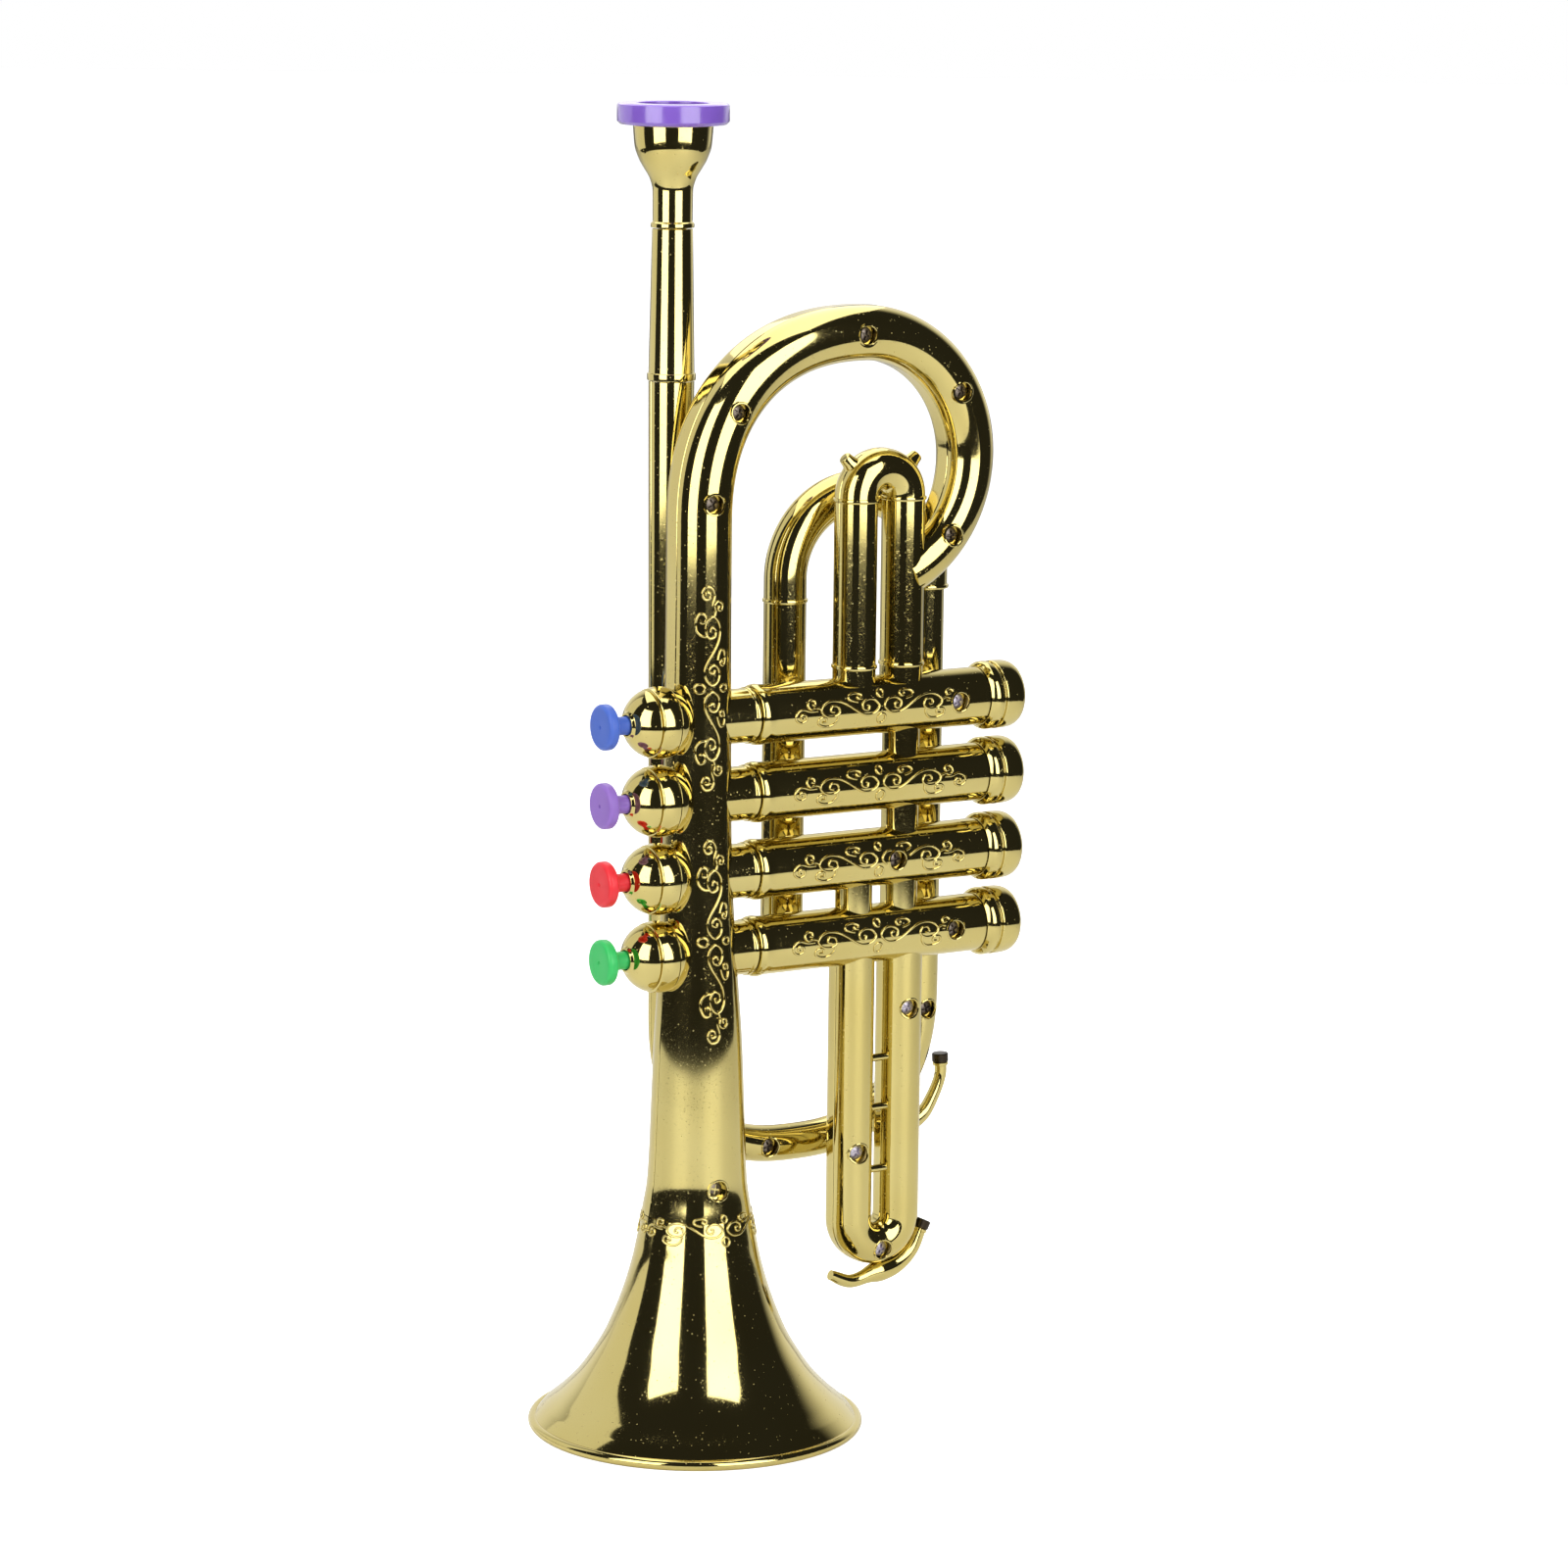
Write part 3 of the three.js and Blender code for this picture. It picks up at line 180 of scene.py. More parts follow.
# Rear tubing
REAR_Y = 19.5
LEADPIPE_X = 0.8
REAR_LEG_X = 39
REAR_RIGHT_X = 87
LEADPIPE_TOP = 298.9
LEADPIPE_TOP_RADIUS = 6.5
TUNING_RADIUS = 5.35
TUNING_BOTTOM = 73.9
TUNING_TOP = 117.7
TUNING_SQUARENESS = 2.5
REAR_CROOK_RADIUS = 6.2
REAR_CROOK_SPRING = 240.3
REAR_JOINT = 234.9
REAR_LEG_FOOT = 133.7
SADDLE_RADIUS = 3.2
SADDLE_START = 5
SADDLE_OVERLAP = 1
POST_HEIGHTS = (227.6, 149.5)
POST_RADIUS = 3
POST_REACH = 3.5

# Mouthpiece: share of the cup's height down from the ring, and share of the widening
MOUTH_TOP = 376.7
MOUTH_RING_RADIUS = 15.8
MOUTH_RING_HEIGHT = 6
MOUTH_RING_CHAMFER = 0.9
MOUTH_RING_EDGE = ((0.45, 0.0), (0.0, 0.55), (0.0, 1.4))
MOUTH_OPENING = 10.3
MOUTH_OPENING_EDGE = ((0.0, 1.0), (0.0, 0.25), (0.25, 0.0))
CUP_RADIUS = 11.3
CUP_BOTTOM = 342
CUP_THROAT = 2
CUP_DEPTH = 14
CUP_RING = ((1.5, 0.1), (1.2, 0.42), (0.0, 0.42))
SHANK_RADIUS = 4.2
SHANK_LENGTH = 14
SLEEVE_TOP_RADIUS = 5.75
SLEEVE_FOOT_RADIUS = 6.5
SLEEVE_RING = 2
CUP_SHARES = (
    (0.0, 1.0), (0.2, 0.93), (0.33, 0.76), (0.42, 0.56), (0.52, 0.33), (0.64, 0.21),
    (0.94, 0.2),
)

# Screws: the dome is [radius, height], and each place is x and height
SCREW_HEAD_RADIUS = 2.4
SCREW_HEAD = 1.3
SCREW_DOME = (
    (0.001, 0.62), (0.35, 0.62), (0.6, 0.6), (0.9, 0.55), (1.2, 0.48), (1.5, 0.38),
    (1.75, 0.28), (2.0, 0.16), (2.2, 0.02), (2.34, -0.16),
)
SCREW_RIM = -0.35
SCREW_UNDER = -0.66
SCREW_TIP = -5
SCREW_SHANK_RADIUS = 1.1
SCREW_CROSS = 0.3
SCREW_CROSS_REACH = 1.45
SCREW_CROSS_DEPTH = 0.75
SCREW_TURN_SEED = 5
WELL_RADIUS = 2.75
WELL_WALL = 0.75
WELL_LIP = 0.34
WELL_LIP_OUT = 0.55
WELL_LIP_DOWN = 0.35
WELL_FLOOR = 0.9
WELL_TUCK = 0.25
WELL_CUT = 4
WELL_SIDES = 40
CASING_LIFT = 0.5
SLIDE_LIFT = 1.05
REAR_LIFT = 0.9
SCREW_RECESS = 1.8
LOOP_SCREWS = ((-0.6, 266.9), (7.6, 292), (49.1, 312.1), (81.6, 294.8), (79.6, 253.5))
BELL_SCREW = (-1.1, 71.9)
VALVE_SCREWS = ((81.8, 205.3), (61.2, 160.7), (81.5, 138.4))
SLIDE_SCREWS = ((51.1, 74.7), (59.7, 44.8), (67.8, 116))
REAR_SCREWS = ((33.1, 74.3), (87, 109.9))
# The screws in the light keep the steel finish; the others get a darker copy of it, which is painted shade
BRIGHT_SCREWS = ("valve_screw_1", "slide_screw_1", "slide_screw_2", "slide_screw_3")

# Raised scrolls: places along and across the ornament from its middle, for the half that is mirrored
SCROLL_LINES = (
    (
        (5.2, 0.7), (4.3, 0.3), (4.7, -0.8), (6.2, -0.5), (6.5, 0.9), (4.8, 2.1),
        (2.4, 1.9), (0.9, 0.0), (2.6, -1.9), (5.4, -2.2), (7.6, -1.4), (10.8, 0.6),
        (14.0, 2.1), (17.5, 2.3), (19.8, 1.0), (20.3, -0.1), (19.0, -1.6), (16.0, -2.0),
        (14.2, -0.9), (14.8, 0.7), (16.6, 0.9), (17.2, -0.3), (16.0, -0.7),
    ),
    (
        (8.0, 1.6), (9.4, 1.9), (10.9, 2.7), (10.4, 3.8), (8.2, 4.2), (6.4, 3.5),
        (6.8, 2.5), (7.9, 2.8), (7.7, 3.4),
    ),
    (
        (14.8, -1.7), (14.9, -3.2), (16.4, -4.7), (19.0, -4.9), (21.2, -3.7), (20.7, -2.3),
        (18.9, -2.2), (18.6, -3.4), (19.8, -3.5),
    ),
    (
        (20.4, 0.5), (22.0, 0.9), (23.6, 0.5), (24.6, 1.7), (23.6, 3.1), (22.1, 2.7),
        (22.2, 1.7), (23.3, 1.9),
    ),
    (
        (21.6, 0.0), (24.0, 0.0), (26.4, 0.6), (28.4, -0.4), (28.7, -2.0), (27.0, -3.1),
        (25.2, -2.3), (25.5, -1.0), (26.9, -0.9), (27.1, -1.9), (26.4, -2.0),
    ),
)
SCROLL_RINGS = (3.75, -3.75)
SCROLL_RING_RADII = (1.2, 1.5)
SCROLL_RING_SQUASH = 0.85
SCROLL_WIRE = 0.37
SCROLL_WIRE_SIDES = 8
SCROLL_SPACING = 0.3

# Where the scrolls lie: the height or x of the middle, and the turn to the right in degrees
TUBE_SCROLLS = ((215.2, -8), (143.2, -3))
CASING_SCROLL = (55, 7)
NECK_SCROLL_HEIGHT = 60.8
NECK_SCROLL_SCALE = 0.84

# Finger hooks: x and height along the line, [share of the length, radius], and [step from the tip, radius]
FRONT_HOOK = ((45.2, 37.8), (52, 35.1), (59.6, 36.5), (67.3, 38.3), (72.7, 42.2), (76.4, 49.2))
FRONT_HOOK_SWELL = (
    (0.0, 1.5), (0.1, 1.85), (0.32, 2.1), (0.48, 3.2), (0.62, 2.9), (0.85, 2.3), (1.0, 2.0),
)
REAR_HOOK = ((75.6, 80.1), (82.4, 74.5), (88.4, 76.7), (92.4, 82.3), (94.8, 88.3), (94.7, 93.3))
REAR_HOOK_SWELL = ((0.0, 2.6), (0.3, 2.4), (0.55, 2.0), (0.8, 1.8), (1.0, 1.85))
HOOK_STATIONS = 90
HOOK_TIP_STATIONS = 3
HOOK_COLLAR = ((-2.2, 1.95), (-2.0, 2.3), (-1.3, 2.3), (-1.1, 2.05))
HOOK_TIP = ((-1.1, 2.1), (-0.9, 2.42), (1.3, 2.45), (1.55, 2.2), (1.6, 1.7))

HALVES = ("front", "rear")
KEY_BODIES = ("blue_key", "lilac_key", "red_key", "green_key")
KEY_COLOURS = ("blue", "lilac", "red", "green")

# Finishes: two colours, roughness, how far the roughness spreads, and size of the pits
METALS = {
    "steel_screws": ((0.5, 0.46, 0.54), (0.7, 0.66, 0.74), 0.36, 0.15, 2500.0),
    # The darker screw finish is the same screws with painted shade, for the screws out of the light
    "dark_screws": ((0.16, 0.13, 0.11), (0.26, 0.22, 0.18), 0.3, 0.2, 2500.0),
    "spring_steel": ((0.5, 0.5, 0.52), (0.6, 0.6, 0.62), 0.28, 0.1, 2500.0),
    "reed_brass": ((0.5, 0.34, 0.1), (0.62, 0.44, 0.16), 0.3, 0.15, 1800.0),
    "dark_plating": ((0.03, 0.024, 0.018), (0.07, 0.055, 0.035), 0.2, 0.15, 1500.0),
}
RUBBER = (0.02, 0.02, 0.022)
KEY_ROUGHNESS = 0.3
RING_ROUGHNESS = 0.16
RUBBER_ROUGHNESS = 0.7
PLASTIC_SPREAD = 0.12
PLASTIC_SHADE = 0.86
SPECK_ROUGHNESS = 0.45
SMOOTH_ANGLE = math.radians(32)
BEAD_SMOOTH_ANGLE = math.radians(60)
LOOK = "look_"

# Stage, in metres: the camera looks along -CAMERA_BACK, and AHEAD and ASIDE lie on the floor
CAMERA_PLACE = (-0.76958, -1.268937, 0.447393)
CAMERA_BACK = (-0.51029, -0.84212, 0.17446)
CAMERA_UP = (0.08069, 0.15509, 0.98460)
CAMERA_RIGHT = (0.85621, -0.51651, 0.01119)
SENSOR_WIDTH = 36
CLIP_END = 50
AHEAD = Vector((-0.518, -0.855, 0))
ASIDE = Vector((0.855, -0.518, 0))
TABLE_SWEEP = math.radians(105)
TABLE_STATIONS = 49
TABLE_BACK = -9.0
TABLE_SIDE = 5.0
PAPER_TONES = (0.83, 0.85)
TOP_LIGHT_PLACE = (0, 0.2, 2.2)
TOP_LIGHT_SIZE = 3.0

# Strip lights round the object: from and to in degrees from AHEAD to ASIDE, low, high, share of brightness
STRIPS = ((-58, -23, 0.13, 1.15, 1.0), (15, 56, 0.13, 1.3, 1.0), (-132, -92, 0.06, 1.4, 0.25))
STRIP_DISTANCE = 1.0
STRIP_STATIONS = 13

# The panel above the object: its height, and its ends along AHEAD and ASIDE
PANEL_HEIGHT = 0.5
PANEL_REACH = (0.063, -0.46)
PANEL_SIDES = (-0.19, 0.1)

# World: where the dark room turns into the white backdrop, as the share of a direction that lies along AHEAD
BACK_EDGE = (-0.42, -0.85)
ROOM_GREY = (0.85, 0.85, 0.85)
ROOM_GREY_END = 0.4


# Property groups
class ToyTrumpetShape(bpy.types.PropertyGroup):
    """Sizes of the plated mouldings"""

    wall: FloatProperty(
        name="Wall", description="Wall of the mouldings", default=0.0016, unit="LENGTH"
    )
    rim_radius: FloatProperty(
        name="Rim radius", description="Outer radius of the bell", default=0.04806, unit="LENGTH"
    )
    rim_bead: FloatProperty(
        name="Rim bead", description="Radius of the bell's rolled edge", default=0.0015, unit="LENGTH"
    )
    bell_height: FloatProperty(
        name="Bell height", description="Height of the bell's neck", default=0.0627, unit="LENGTH"
    )
    neck_radius: FloatProperty(
        name="Neck radius", description="Outer radius of the bell's neck", default=0.0157, unit="LENGTH"
    )
    step: FloatProperty(
        name="Step", description="Distance between stations of a tube", default=0.0011, unit="LENGTH"
    )
    arc_steps: IntProperty(name="Arc steps", description="Facets round half a tube", default=26)
    turned_sides: IntProperty(
        name="Turned sides", description="Facets round a turned piece", default=72
    )


class ToyTrumpetFinish(bpy.types.PropertyGroup):
    """Colours of the finishes"""

    gold: FloatVectorProperty(
        name="Gold", description="Colour of the plating", default=(0.68, 0.585, 0.245), subtype="COLOR"
    )
    gold_deep: FloatVectorProperty(
        name="Deep gold", description="Colour of thin plating", default=(0.60, 0.48, 0.15), subtype="COLOR"
    )
    roughness: FloatProperty(name="Roughness", description="Roughness of the plating", default=0.045)
    blue: FloatVectorProperty(
        name="Blue", description="Top key", default=(0.06, 0.14, 0.58), subtype="COLOR"
    )
    lilac: FloatVectorProperty(
        name="Lilac", description="Second key", default=(0.29, 0.15, 0.56), subtype="COLOR"
    )
    red: FloatVectorProperty(
        name="Red", description="Third key", default=(0.82, 0.022, 0.035), subtype="COLOR"
    )
    green: FloatVectorProperty(
        name="Green", description="Lowest key", default=(0.035, 0.56, 0.13), subtype="COLOR"
    )
    purple: FloatVectorProperty(
        name="Purple", description="Ring of the mouthpiece", default=(0.22, 0.11, 0.56), subtype="COLOR"
    )


class ToyTrumpetStage(bpy.types.PropertyGroup):
    """Floor, light and camera"""

    table_front: FloatProperty(
        name="Table front", description="From the bell to the table's edge", default=0.75, unit="LENGTH"
    )
    strip_strength: FloatProperty(
        name="Strip strength", description="Brightness of the strip lights", default=3.6
    )
    back_strength: FloatProperty(
        name="Back strength", description="Brightness of the backdrop", default=1.0
    )
    over_strength: FloatProperty(
        name="Over strength", description="Brightness of the panel above", default=2.1
    )
    room_strength: FloatProperty(
        name="Room strength", description="Brightness of the dark room", default=0.03
    )
    top_power: FloatProperty(
        name="Top power", description="Power of the light above", default=32, unit="POWER"
    )
    floor_lift: FloatProperty(
        name="Floor lift", description="White added to the floor in view", default=0.95
    )
    lens: FloatProperty(name="Lens", description="Focal length in millimetres", default=121.5)


# Shapes as points and faces
def mm(metres):
    """A setting's metres in millimetres of the drawing"""
    return metres / MM


def smooth_values(knots, values, at):
    """Values between knots on a curve that doesn't overshoot"""
    knots, values, at = (np.asarray(item, float) for item in (knots, values, at))
    step = np.diff(knots)
    slope = np.diff(values) / step
    tangent = np.zeros(len(knots))
    tangent[0], tangent[-1] = slope[0], slope[-1]
    for place in range(1, len(knots) - 1):
        if slope[place - 1] * slope[place] > 0:
            tangent[place] = 2 / (1 / slope[place - 1] + 1 / slope[place])
    index = np.clip(np.searchsorted(knots, at, side="right") - 1, 0, len(step) - 1)
    share = (at - knots[index]) / step[index]
    length = step[index]
    return (
        values[index] * (1 + 2 * share) * (1 - share) ** 2
        + tangent[index] * length * share * (1 - share) ** 2
        + values[index + 1] * share**2 * (3 - 2 * share)
        + tangent[index + 1] * length * share**2 * (share - 1)
    )


def rounded(profile, radius, steps=4):
    """A closed profile with its corners eased"""
    eased = []
    count = len(profile)
    for place in range(count):
        here = np.array(profile[place], float)
        before = np.array(profile[place - 1], float) - here
        after = np.array(profile[(place + 1) % count], float) - here
        reach = min(radius, 0.45 * np.linalg.norm(before), 0.45 * np.linalg.norm(after))
        straight = -np.dot(before, after) / max(np.linalg.norm(before) * np.linalg.norm(after), 1e-9)
        if here[1] < 1e-6 or straight > math.cos(math.radians(24)):
            eased.append(tuple(here))
            continue
        start = here + before / np.linalg.norm(before) * reach
        end = here + after / np.linalg.norm(after) * reach
        for share in np.linspace(0, 1, steps + 1):
            point = (1 - share) ** 2 * start + 2 * share * (1 - share) * here + share**2 * end
            eased.append(tuple(point))
    return eased


class Shape:
    """Points and faces of one piece, in millimetres of the drawing"""

    def __init__(self):
        self.points = []
        self.faces = []
        self.marks = []

    def add(self, points, faces, mark=0):
        start = len(self.points)
        self.points.extend([tuple(point) for point in points])
        self.faces.extend([tuple(start + corner for corner in face) for face in faces])
        self.marks.extend([mark] * len(faces))
        return self

    def loft(self, rings, mark=0, closed=False, capped=True):
        """Closed rings joined into a tube"""
        count = len(rings[0])
        faces = []
        total = len(rings)
        for ring in range(total if closed else total - 1):
            following = (ring + 1) % total
            for corner in range(count):
                side = (corner + 1) % count
                here, there = ring * count, following * count
                faces.append((here + corner, here + side, there + side, there + corner))
        if capped and not closed:
            faces.append(tuple(range(count)))
            faces.append(tuple((total - 1) * count + corner for corner in reversed(range(count))))
        return self.add([point for ring in rings for point in ring], faces, mark)

    def shell(self, rings, split, mark=0):
        """Rings of an outer arc and the inner arc back, with the open ends closed"""
        self.loft(rings, mark, capped=False)
        count = len(rings[0])
        start = len(self.points) - len(rings) * count
        last = start + (len(rings) - 1) * count
        faces = []
        for corner in range(split - 1):
            inner = count - 1 - corner
            faces.append((start + corner, start + corner + 1, start + inner - 1, start + inner))
            faces.append((last + corner + 1, last + corner, last + inner, last + inner - 1))
        self.faces.extend(faces)
        self.marks.extend([mark] * len(faces))
        return self


def turned(shape, profile, place, axis="z", sides=72, mark=0, half=None):
    """Spins a closed profile of [along, radius]; half keeps the front or the rear of the seam plane"""
    angles = np.linspace(0, 2 * math.pi, sides, endpoint=False)
    if half:
        start = math.pi if half == "front" else 0
        angles = start + np.linspace(0, math.pi, sides // 2 + 1)
    rings = []
    for angle in angles:
        ring = []
        for along, radius in profile:
            first, second = radius * math.cos(angle), radius * math.sin(angle)
            if half == "front":
                second = min(second, -SEAM)
            if half == "rear":
                second = max(second, SEAM)
            if axis == "z":
                ring.append((place[0] + first, place[1] + second, along))
            elif axis == "x":
                ring.append((along, place[0] + second, place[1] + first))
            else:
                ring.append((place[0] + first, along, place[1] + second))
        rings.append(ring)
    return shape.loft(rings, mark, closed=half is None)


# Routes: rows of x, height, radius and widening
def directions(route):
    """The unit direction in x and height at every station"""
    points = np.array(route, float)[:, :2]
    ahead = np.vstack([points[1:], points[-1:]]) - np.vstack([points[:1], points[:-1]])
    return ahead / np.linalg.norm(ahead, axis=1)[:, None]


def arc_points(x, z, radius, start, end, steps):
    """Points on an arc in the seam plane, between two angles from +X"""
    angles = np.linspace(start, end, steps + 1)
    return [(x + radius * math.cos(a), z + radius * math.sin(a)) for a in angles]


def spaced(route, step):
    """The same route with stations an even distance apart"""
    rows = np.array(route, float)
    gaps = np.linalg.norm(np.diff(rows[:, :2], axis=0), axis=1)
    keep = np.concatenate([[True], gaps > 1e-6])
    rows = rows[keep]
    lengths = np.concatenate([[0], np.cumsum(np.linalg.norm(np.diff(rows[:, :2], axis=0), axis=1))])
    at = np.linspace(0, lengths[-1], max(2, int(lengths[-1] / step) + 1))
    return np.stack([np.interp(at, lengths, rows[:, column]) for column in range(rows.shape[1])], axis=1)


def body_route(settings):
    """From the bell up the tapered leg, round the flat oval of the loop and down to its end"""
    neck = mm(settings.neck_radius)
    foot = mm(settings.bell_height) + CLEARANCE
    top = LOOP_TOP - LOOP_LEFT_RADIUS
    rises = np.linspace(0, 1, 240)
    widens = smooth_values(*zip(*LEG_SHARES), rises)
    rows = [
        (0, foot + (top - foot) * rise, TUBE_RADIUS + (neck - TUBE_RADIUS) * widen, widen)
        for rise, widen in zip(rises, widens)
    ]
    power = 2 / LOOP_SQUARENESS
    thin = TUBE_RADIUS - LOOP_END_RADIUS
    for share in np.linspace(0, 1, 120)[1:]:
        angle = share * math.pi / 2
        x = LOOP_LEFT_RADIUS * (1 - max(math.cos(angle), 0) ** power)
        z = top + LOOP_LEFT_RADIUS * math.sin(angle) ** power
        rows.append((x, z, TUBE_RADIUS - thin * (LOOP_LEFT_SHARE * share) ** 2, 0))
    end = -math.acos((TUBING_RIGHT - LOOP_LEFT_RADIUS) / LOOP_RIGHT_RADIUS)
    middle = LOOP_TOP - LOOP_RIGHT_RADIUS
    right = arc_points(LOOP_LEFT_RADIUS, middle, LOOP_RIGHT_RADIUS, math.pi / 2, end, 120)
    for place, (x, z) in enumerate(right[1:], 1):
        share = LOOP_LEFT_SHARE + (1 - LOOP_LEFT_SHARE) * place / 120
        rows.append((x, z, TUBE_RADIUS - thin * share**2, 0))
    return spaced(rows, mm(settings.step))


def twin_route(settings, left, right, radius, spring, rise, foot):
    """Along the left leg from its foot, round the bend and back to the right leg's foot"""
    end = math.pi - rise * math.pi
    bend = arc_points((left + right) / 2, spring, (right - left) / 2, math.pi, end, 48)
    rows = [(left, foot)] + bend + [(right, foot)]
    return spaced([(x, z, radius, 0) for x, z in rows], mm(settings.step) * 0.8)


def crook_route(settings):
    """The upper crook, which starts inside the top casing"""
    spring = CROOK_TOP - CROOK_RADIUS - (CROOK_RIGHT - CROOK_LEFT) / 2
    foot = VALVE_HEIGHTS[0] + TWIN_OVERLAP
    return twin_route(settings, CROOK_LEFT, CROOK_RIGHT, CROOK_RADIUS, spring, 1, foot)


def slide_route(settings):
    """The front slide, which starts inside the lowest casing"""
    spring = SLIDE_BOTTOM + SLIDE_RADIUS + (SLIDE_RIGHT - SLIDE_LEFT) / 2
    foot = VALVE_HEIGHTS[-1] - TWIN_OVERLAP
    return twin_route(settings, SLIDE_LEFT, SLIDE_RIGHT, SLIDE_RADIUS, spring, -1, foot)


def leadpipe_route(settings):
    """Down the leadpipe, round the squared tuning slide and up to the rear crook"""
    centre = (LEADPIPE_X + REAR_RIGHT_X) / 2
    spread = (REAR_RIGHT_X - LEADPIPE_X) / 2
    power = 2 / TUNING_SQUARENESS
    rows = [(LEADPIPE_X, LEADPIPE_TOP, LEADPIPE_TOP_RADIUS, 0)]
    for share in np.linspace(0, 1, 160):
        angle = math.pi * share
        across = math.copysign(abs(math.cos(angle)) ** power, math.cos(angle))
        down = (TUNING_TOP - TUNING_BOTTOM) * max(math.sin(angle), 0) ** power
        rows.append((centre - spread * across, TUNING_TOP - down, TUNING_RADIUS, 0))
    rows.append((REAR_RIGHT_X, REAR_JOINT - CLEARANCE, TUNING_RADIUS, 0))
    return spaced(rows, mm(settings.step))


def rear_crook_route(settings):
    """Over the rear crook and down its left leg"""
    centre = (REAR_LEG_X + REAR_RIGHT_X) / 2
    spread = (REAR_RIGHT_X - REAR_LEG_X) / 2
    bend = arc_points(centre, REAR_CROOK_SPRING, spread, 0, math.pi, 90)
    rows = [(REAR_RIGHT_X, REAR_JOINT)] + bend + [(REAR_LEG_X, REAR_LEG_FOOT)]
    return spaced([(x, z, REAR_CROOK_RADIUS, 0) for x, z in rows], mm(settings.step))


def half_section(radius, rear, wall, flat, bulge, steps):
    """[across, depth] round a half shell: the outer arc with eased edges, and the inner arc"""
    angles = np.linspace(0, math.pi, steps + 1)

    def side(size, least):
        arc = []
        for angle in angles:
            depth = size * math.sin(angle)
            if rear:
                depth = flat + bulge * depth
            arc.append((size * math.cos(angle), max(depth, least)))
        if rear and flat:
            arc = [(size, least)] + arc + [(-size, least)]
        return arc

    outer = [(radius - EDGE, SEAM)] + side(radius, SEAM + EDGE) + [(EDGE - radius, SEAM)]
    inner = side(radius - wall, SEAM)
    return outer, [inner[0]] + inner + [inner[-1]]


def swept_half(shape, route, rear, settings, y=0, flat=None, bulge=None, mark=0):
    """A half shell along a route; flat and bulge give the rear's straight wall and the share of its round"""
    wall = mm(settings.wall)
    steps = settings.arc_steps
    ways = directions(route)
    rings = []
    split = 0
    for (x, z, radius, widen), (along_x, along_z) in zip(route, ways):
        lift, share = flat(widen) if flat else 0, bulge(widen) if bulge else 1
        outer, inner = half_section(radius, rear, wall, lift, share, steps)
        split = len(outer)
        sign = 1 if rear else -1
        rings.append(
            [
                (x + across * along_z, y + sign * depth, z - across * along_x)
                for across, depth in outer + inner[::-1]
            ]
        )
    return shape.shell(rings, split, mark)


def surface_depth(route, x, z, y=0):
    """Where along Y the front of a tube's skin lies at a place"""
    rows = np.asarray(route)
    gaps = np.hypot(rows[:, 0] - x, rows[:, 1] - z)
    nearest = int(np.argmin(gaps))
    radius = rows[nearest, 2]
    return y - math.sqrt(max(radius**2 - gaps[nearest] ** 2, 0.0))


def tube_along(shape, points, radii, sides=12, mark=0, closed=False):
    """A round rod through points in space"""
    points = np.asarray(points, float)
    count = len(points)
    radii = np.broadcast_to(np.asarray(radii, float), (count,))
    if closed:
        ahead = np.roll(points, -1, axis=0) - np.roll(points, 1, axis=0)
    else:
        ahead = np.vstack([points[1:], points[-1:]]) - np.vstack([points[:1], points[:-1]])
    ahead /= np.linalg.norm(ahead, axis=1)[:, None]
    side = np.cross(ahead[0], (0, 1, 0) if abs(ahead[0][1]) < 0.9 else (1, 0, 0))
    rings = []
    for place in range(count):
        side = side - np.dot(side, ahead[place]) * ahead[place]
        side /= np.linalg.norm(side)
        other = np.cross(ahead[place], side)
        rings.append(
            [
                tuple(points[place] + radii[place] * (math.cos(a) * side + math.sin(a) * other))
                for a in np.linspace(0, 2 * math.pi, sides, endpoint=False)
            ]
        )
    return shape.loft(rings, mark, closed=closed)


def curve_points(places, count):
    """A smooth curve through places, as a centripetal spline"""
    places = [np.array(place, float) for place in places]
    places = [2 * places[0] - places[1]] + places + [2 * places[-1] - places[-2]]
    result = []
    spans = len(places) - 3
    for at in np.linspace(0, spans, count):
        span = min(int(at), spans - 1)
        p0, p1, p2, p3 = places[span : span + 4]
        t0 = 0.0
        t1 = t0 + max(np.linalg.norm(p1 - p0), 1e-6) ** 0.5
        t2 = t1 + max(np.linalg.norm(p2 - p1), 1e-6) ** 0.5
        t3 = t2 + max(np.linalg.norm(p3 - p2), 1e-6) ** 0.5
        t = t1 + (at - span) * (t2 - t1)
        a1 = (t1 - t) / (t1 - t0) * p0 + (t - t0) / (t1 - t0) * p1
        a2 = (t2 - t) / (t2 - t1) * p1 + (t - t1) / (t2 - t1) * p2
        a3 = (t3 - t) / (t3 - t2) * p2 + (t - t2) / (t3 - t2) * p3
        b1 = (t2 - t) / (t2 - t0) * a1 + (t - t0) / (t2 - t0) * a2
        b2 = (t3 - t) / (t3 - t1) * a2 + (t - t1) / (t3 - t1) * a3
        result.append((t2 - t) / (t2 - t1) * b1 + (t - t1) / (t2 - t1) * b2)
    return result


# Objects
def make_object(name, shape, materials, smooth=SMOOTH_ANGLE):
    """A mesh object in the frame's metres, with its marks as material slots"""
    points = (np.array(shape.points, float) - (FRAME_X, 0, 0)) * MM
    mesh = bpy.data.meshes.new(name)
    mesh.from_pydata([tuple(point) for point in points], [], shape.faces)
    for material in materials:
        mesh.materials.append(bpy.data.materials[LOOK + material])
    mesh.polygons.foreach_set("material_index", shape.marks)
    grid = bmesh.new()
    grid.from_mesh(mesh)
    bmesh.ops.remove_doubles(grid, verts=grid.verts, dist=2e-6)
    bmesh.ops.dissolve_degenerate(grid, edges=grid.edges, dist=1e-6)
    bmesh.ops.recalc_face_normals(grid, faces=grid.faces)
    grid.to_mesh(mesh)
    grid.free()
    finish_mesh(mesh, smooth)
    piece = bpy.data.objects.new(name, mesh)
    bpy.context.scene.collection.objects.link(piece)
    return piece


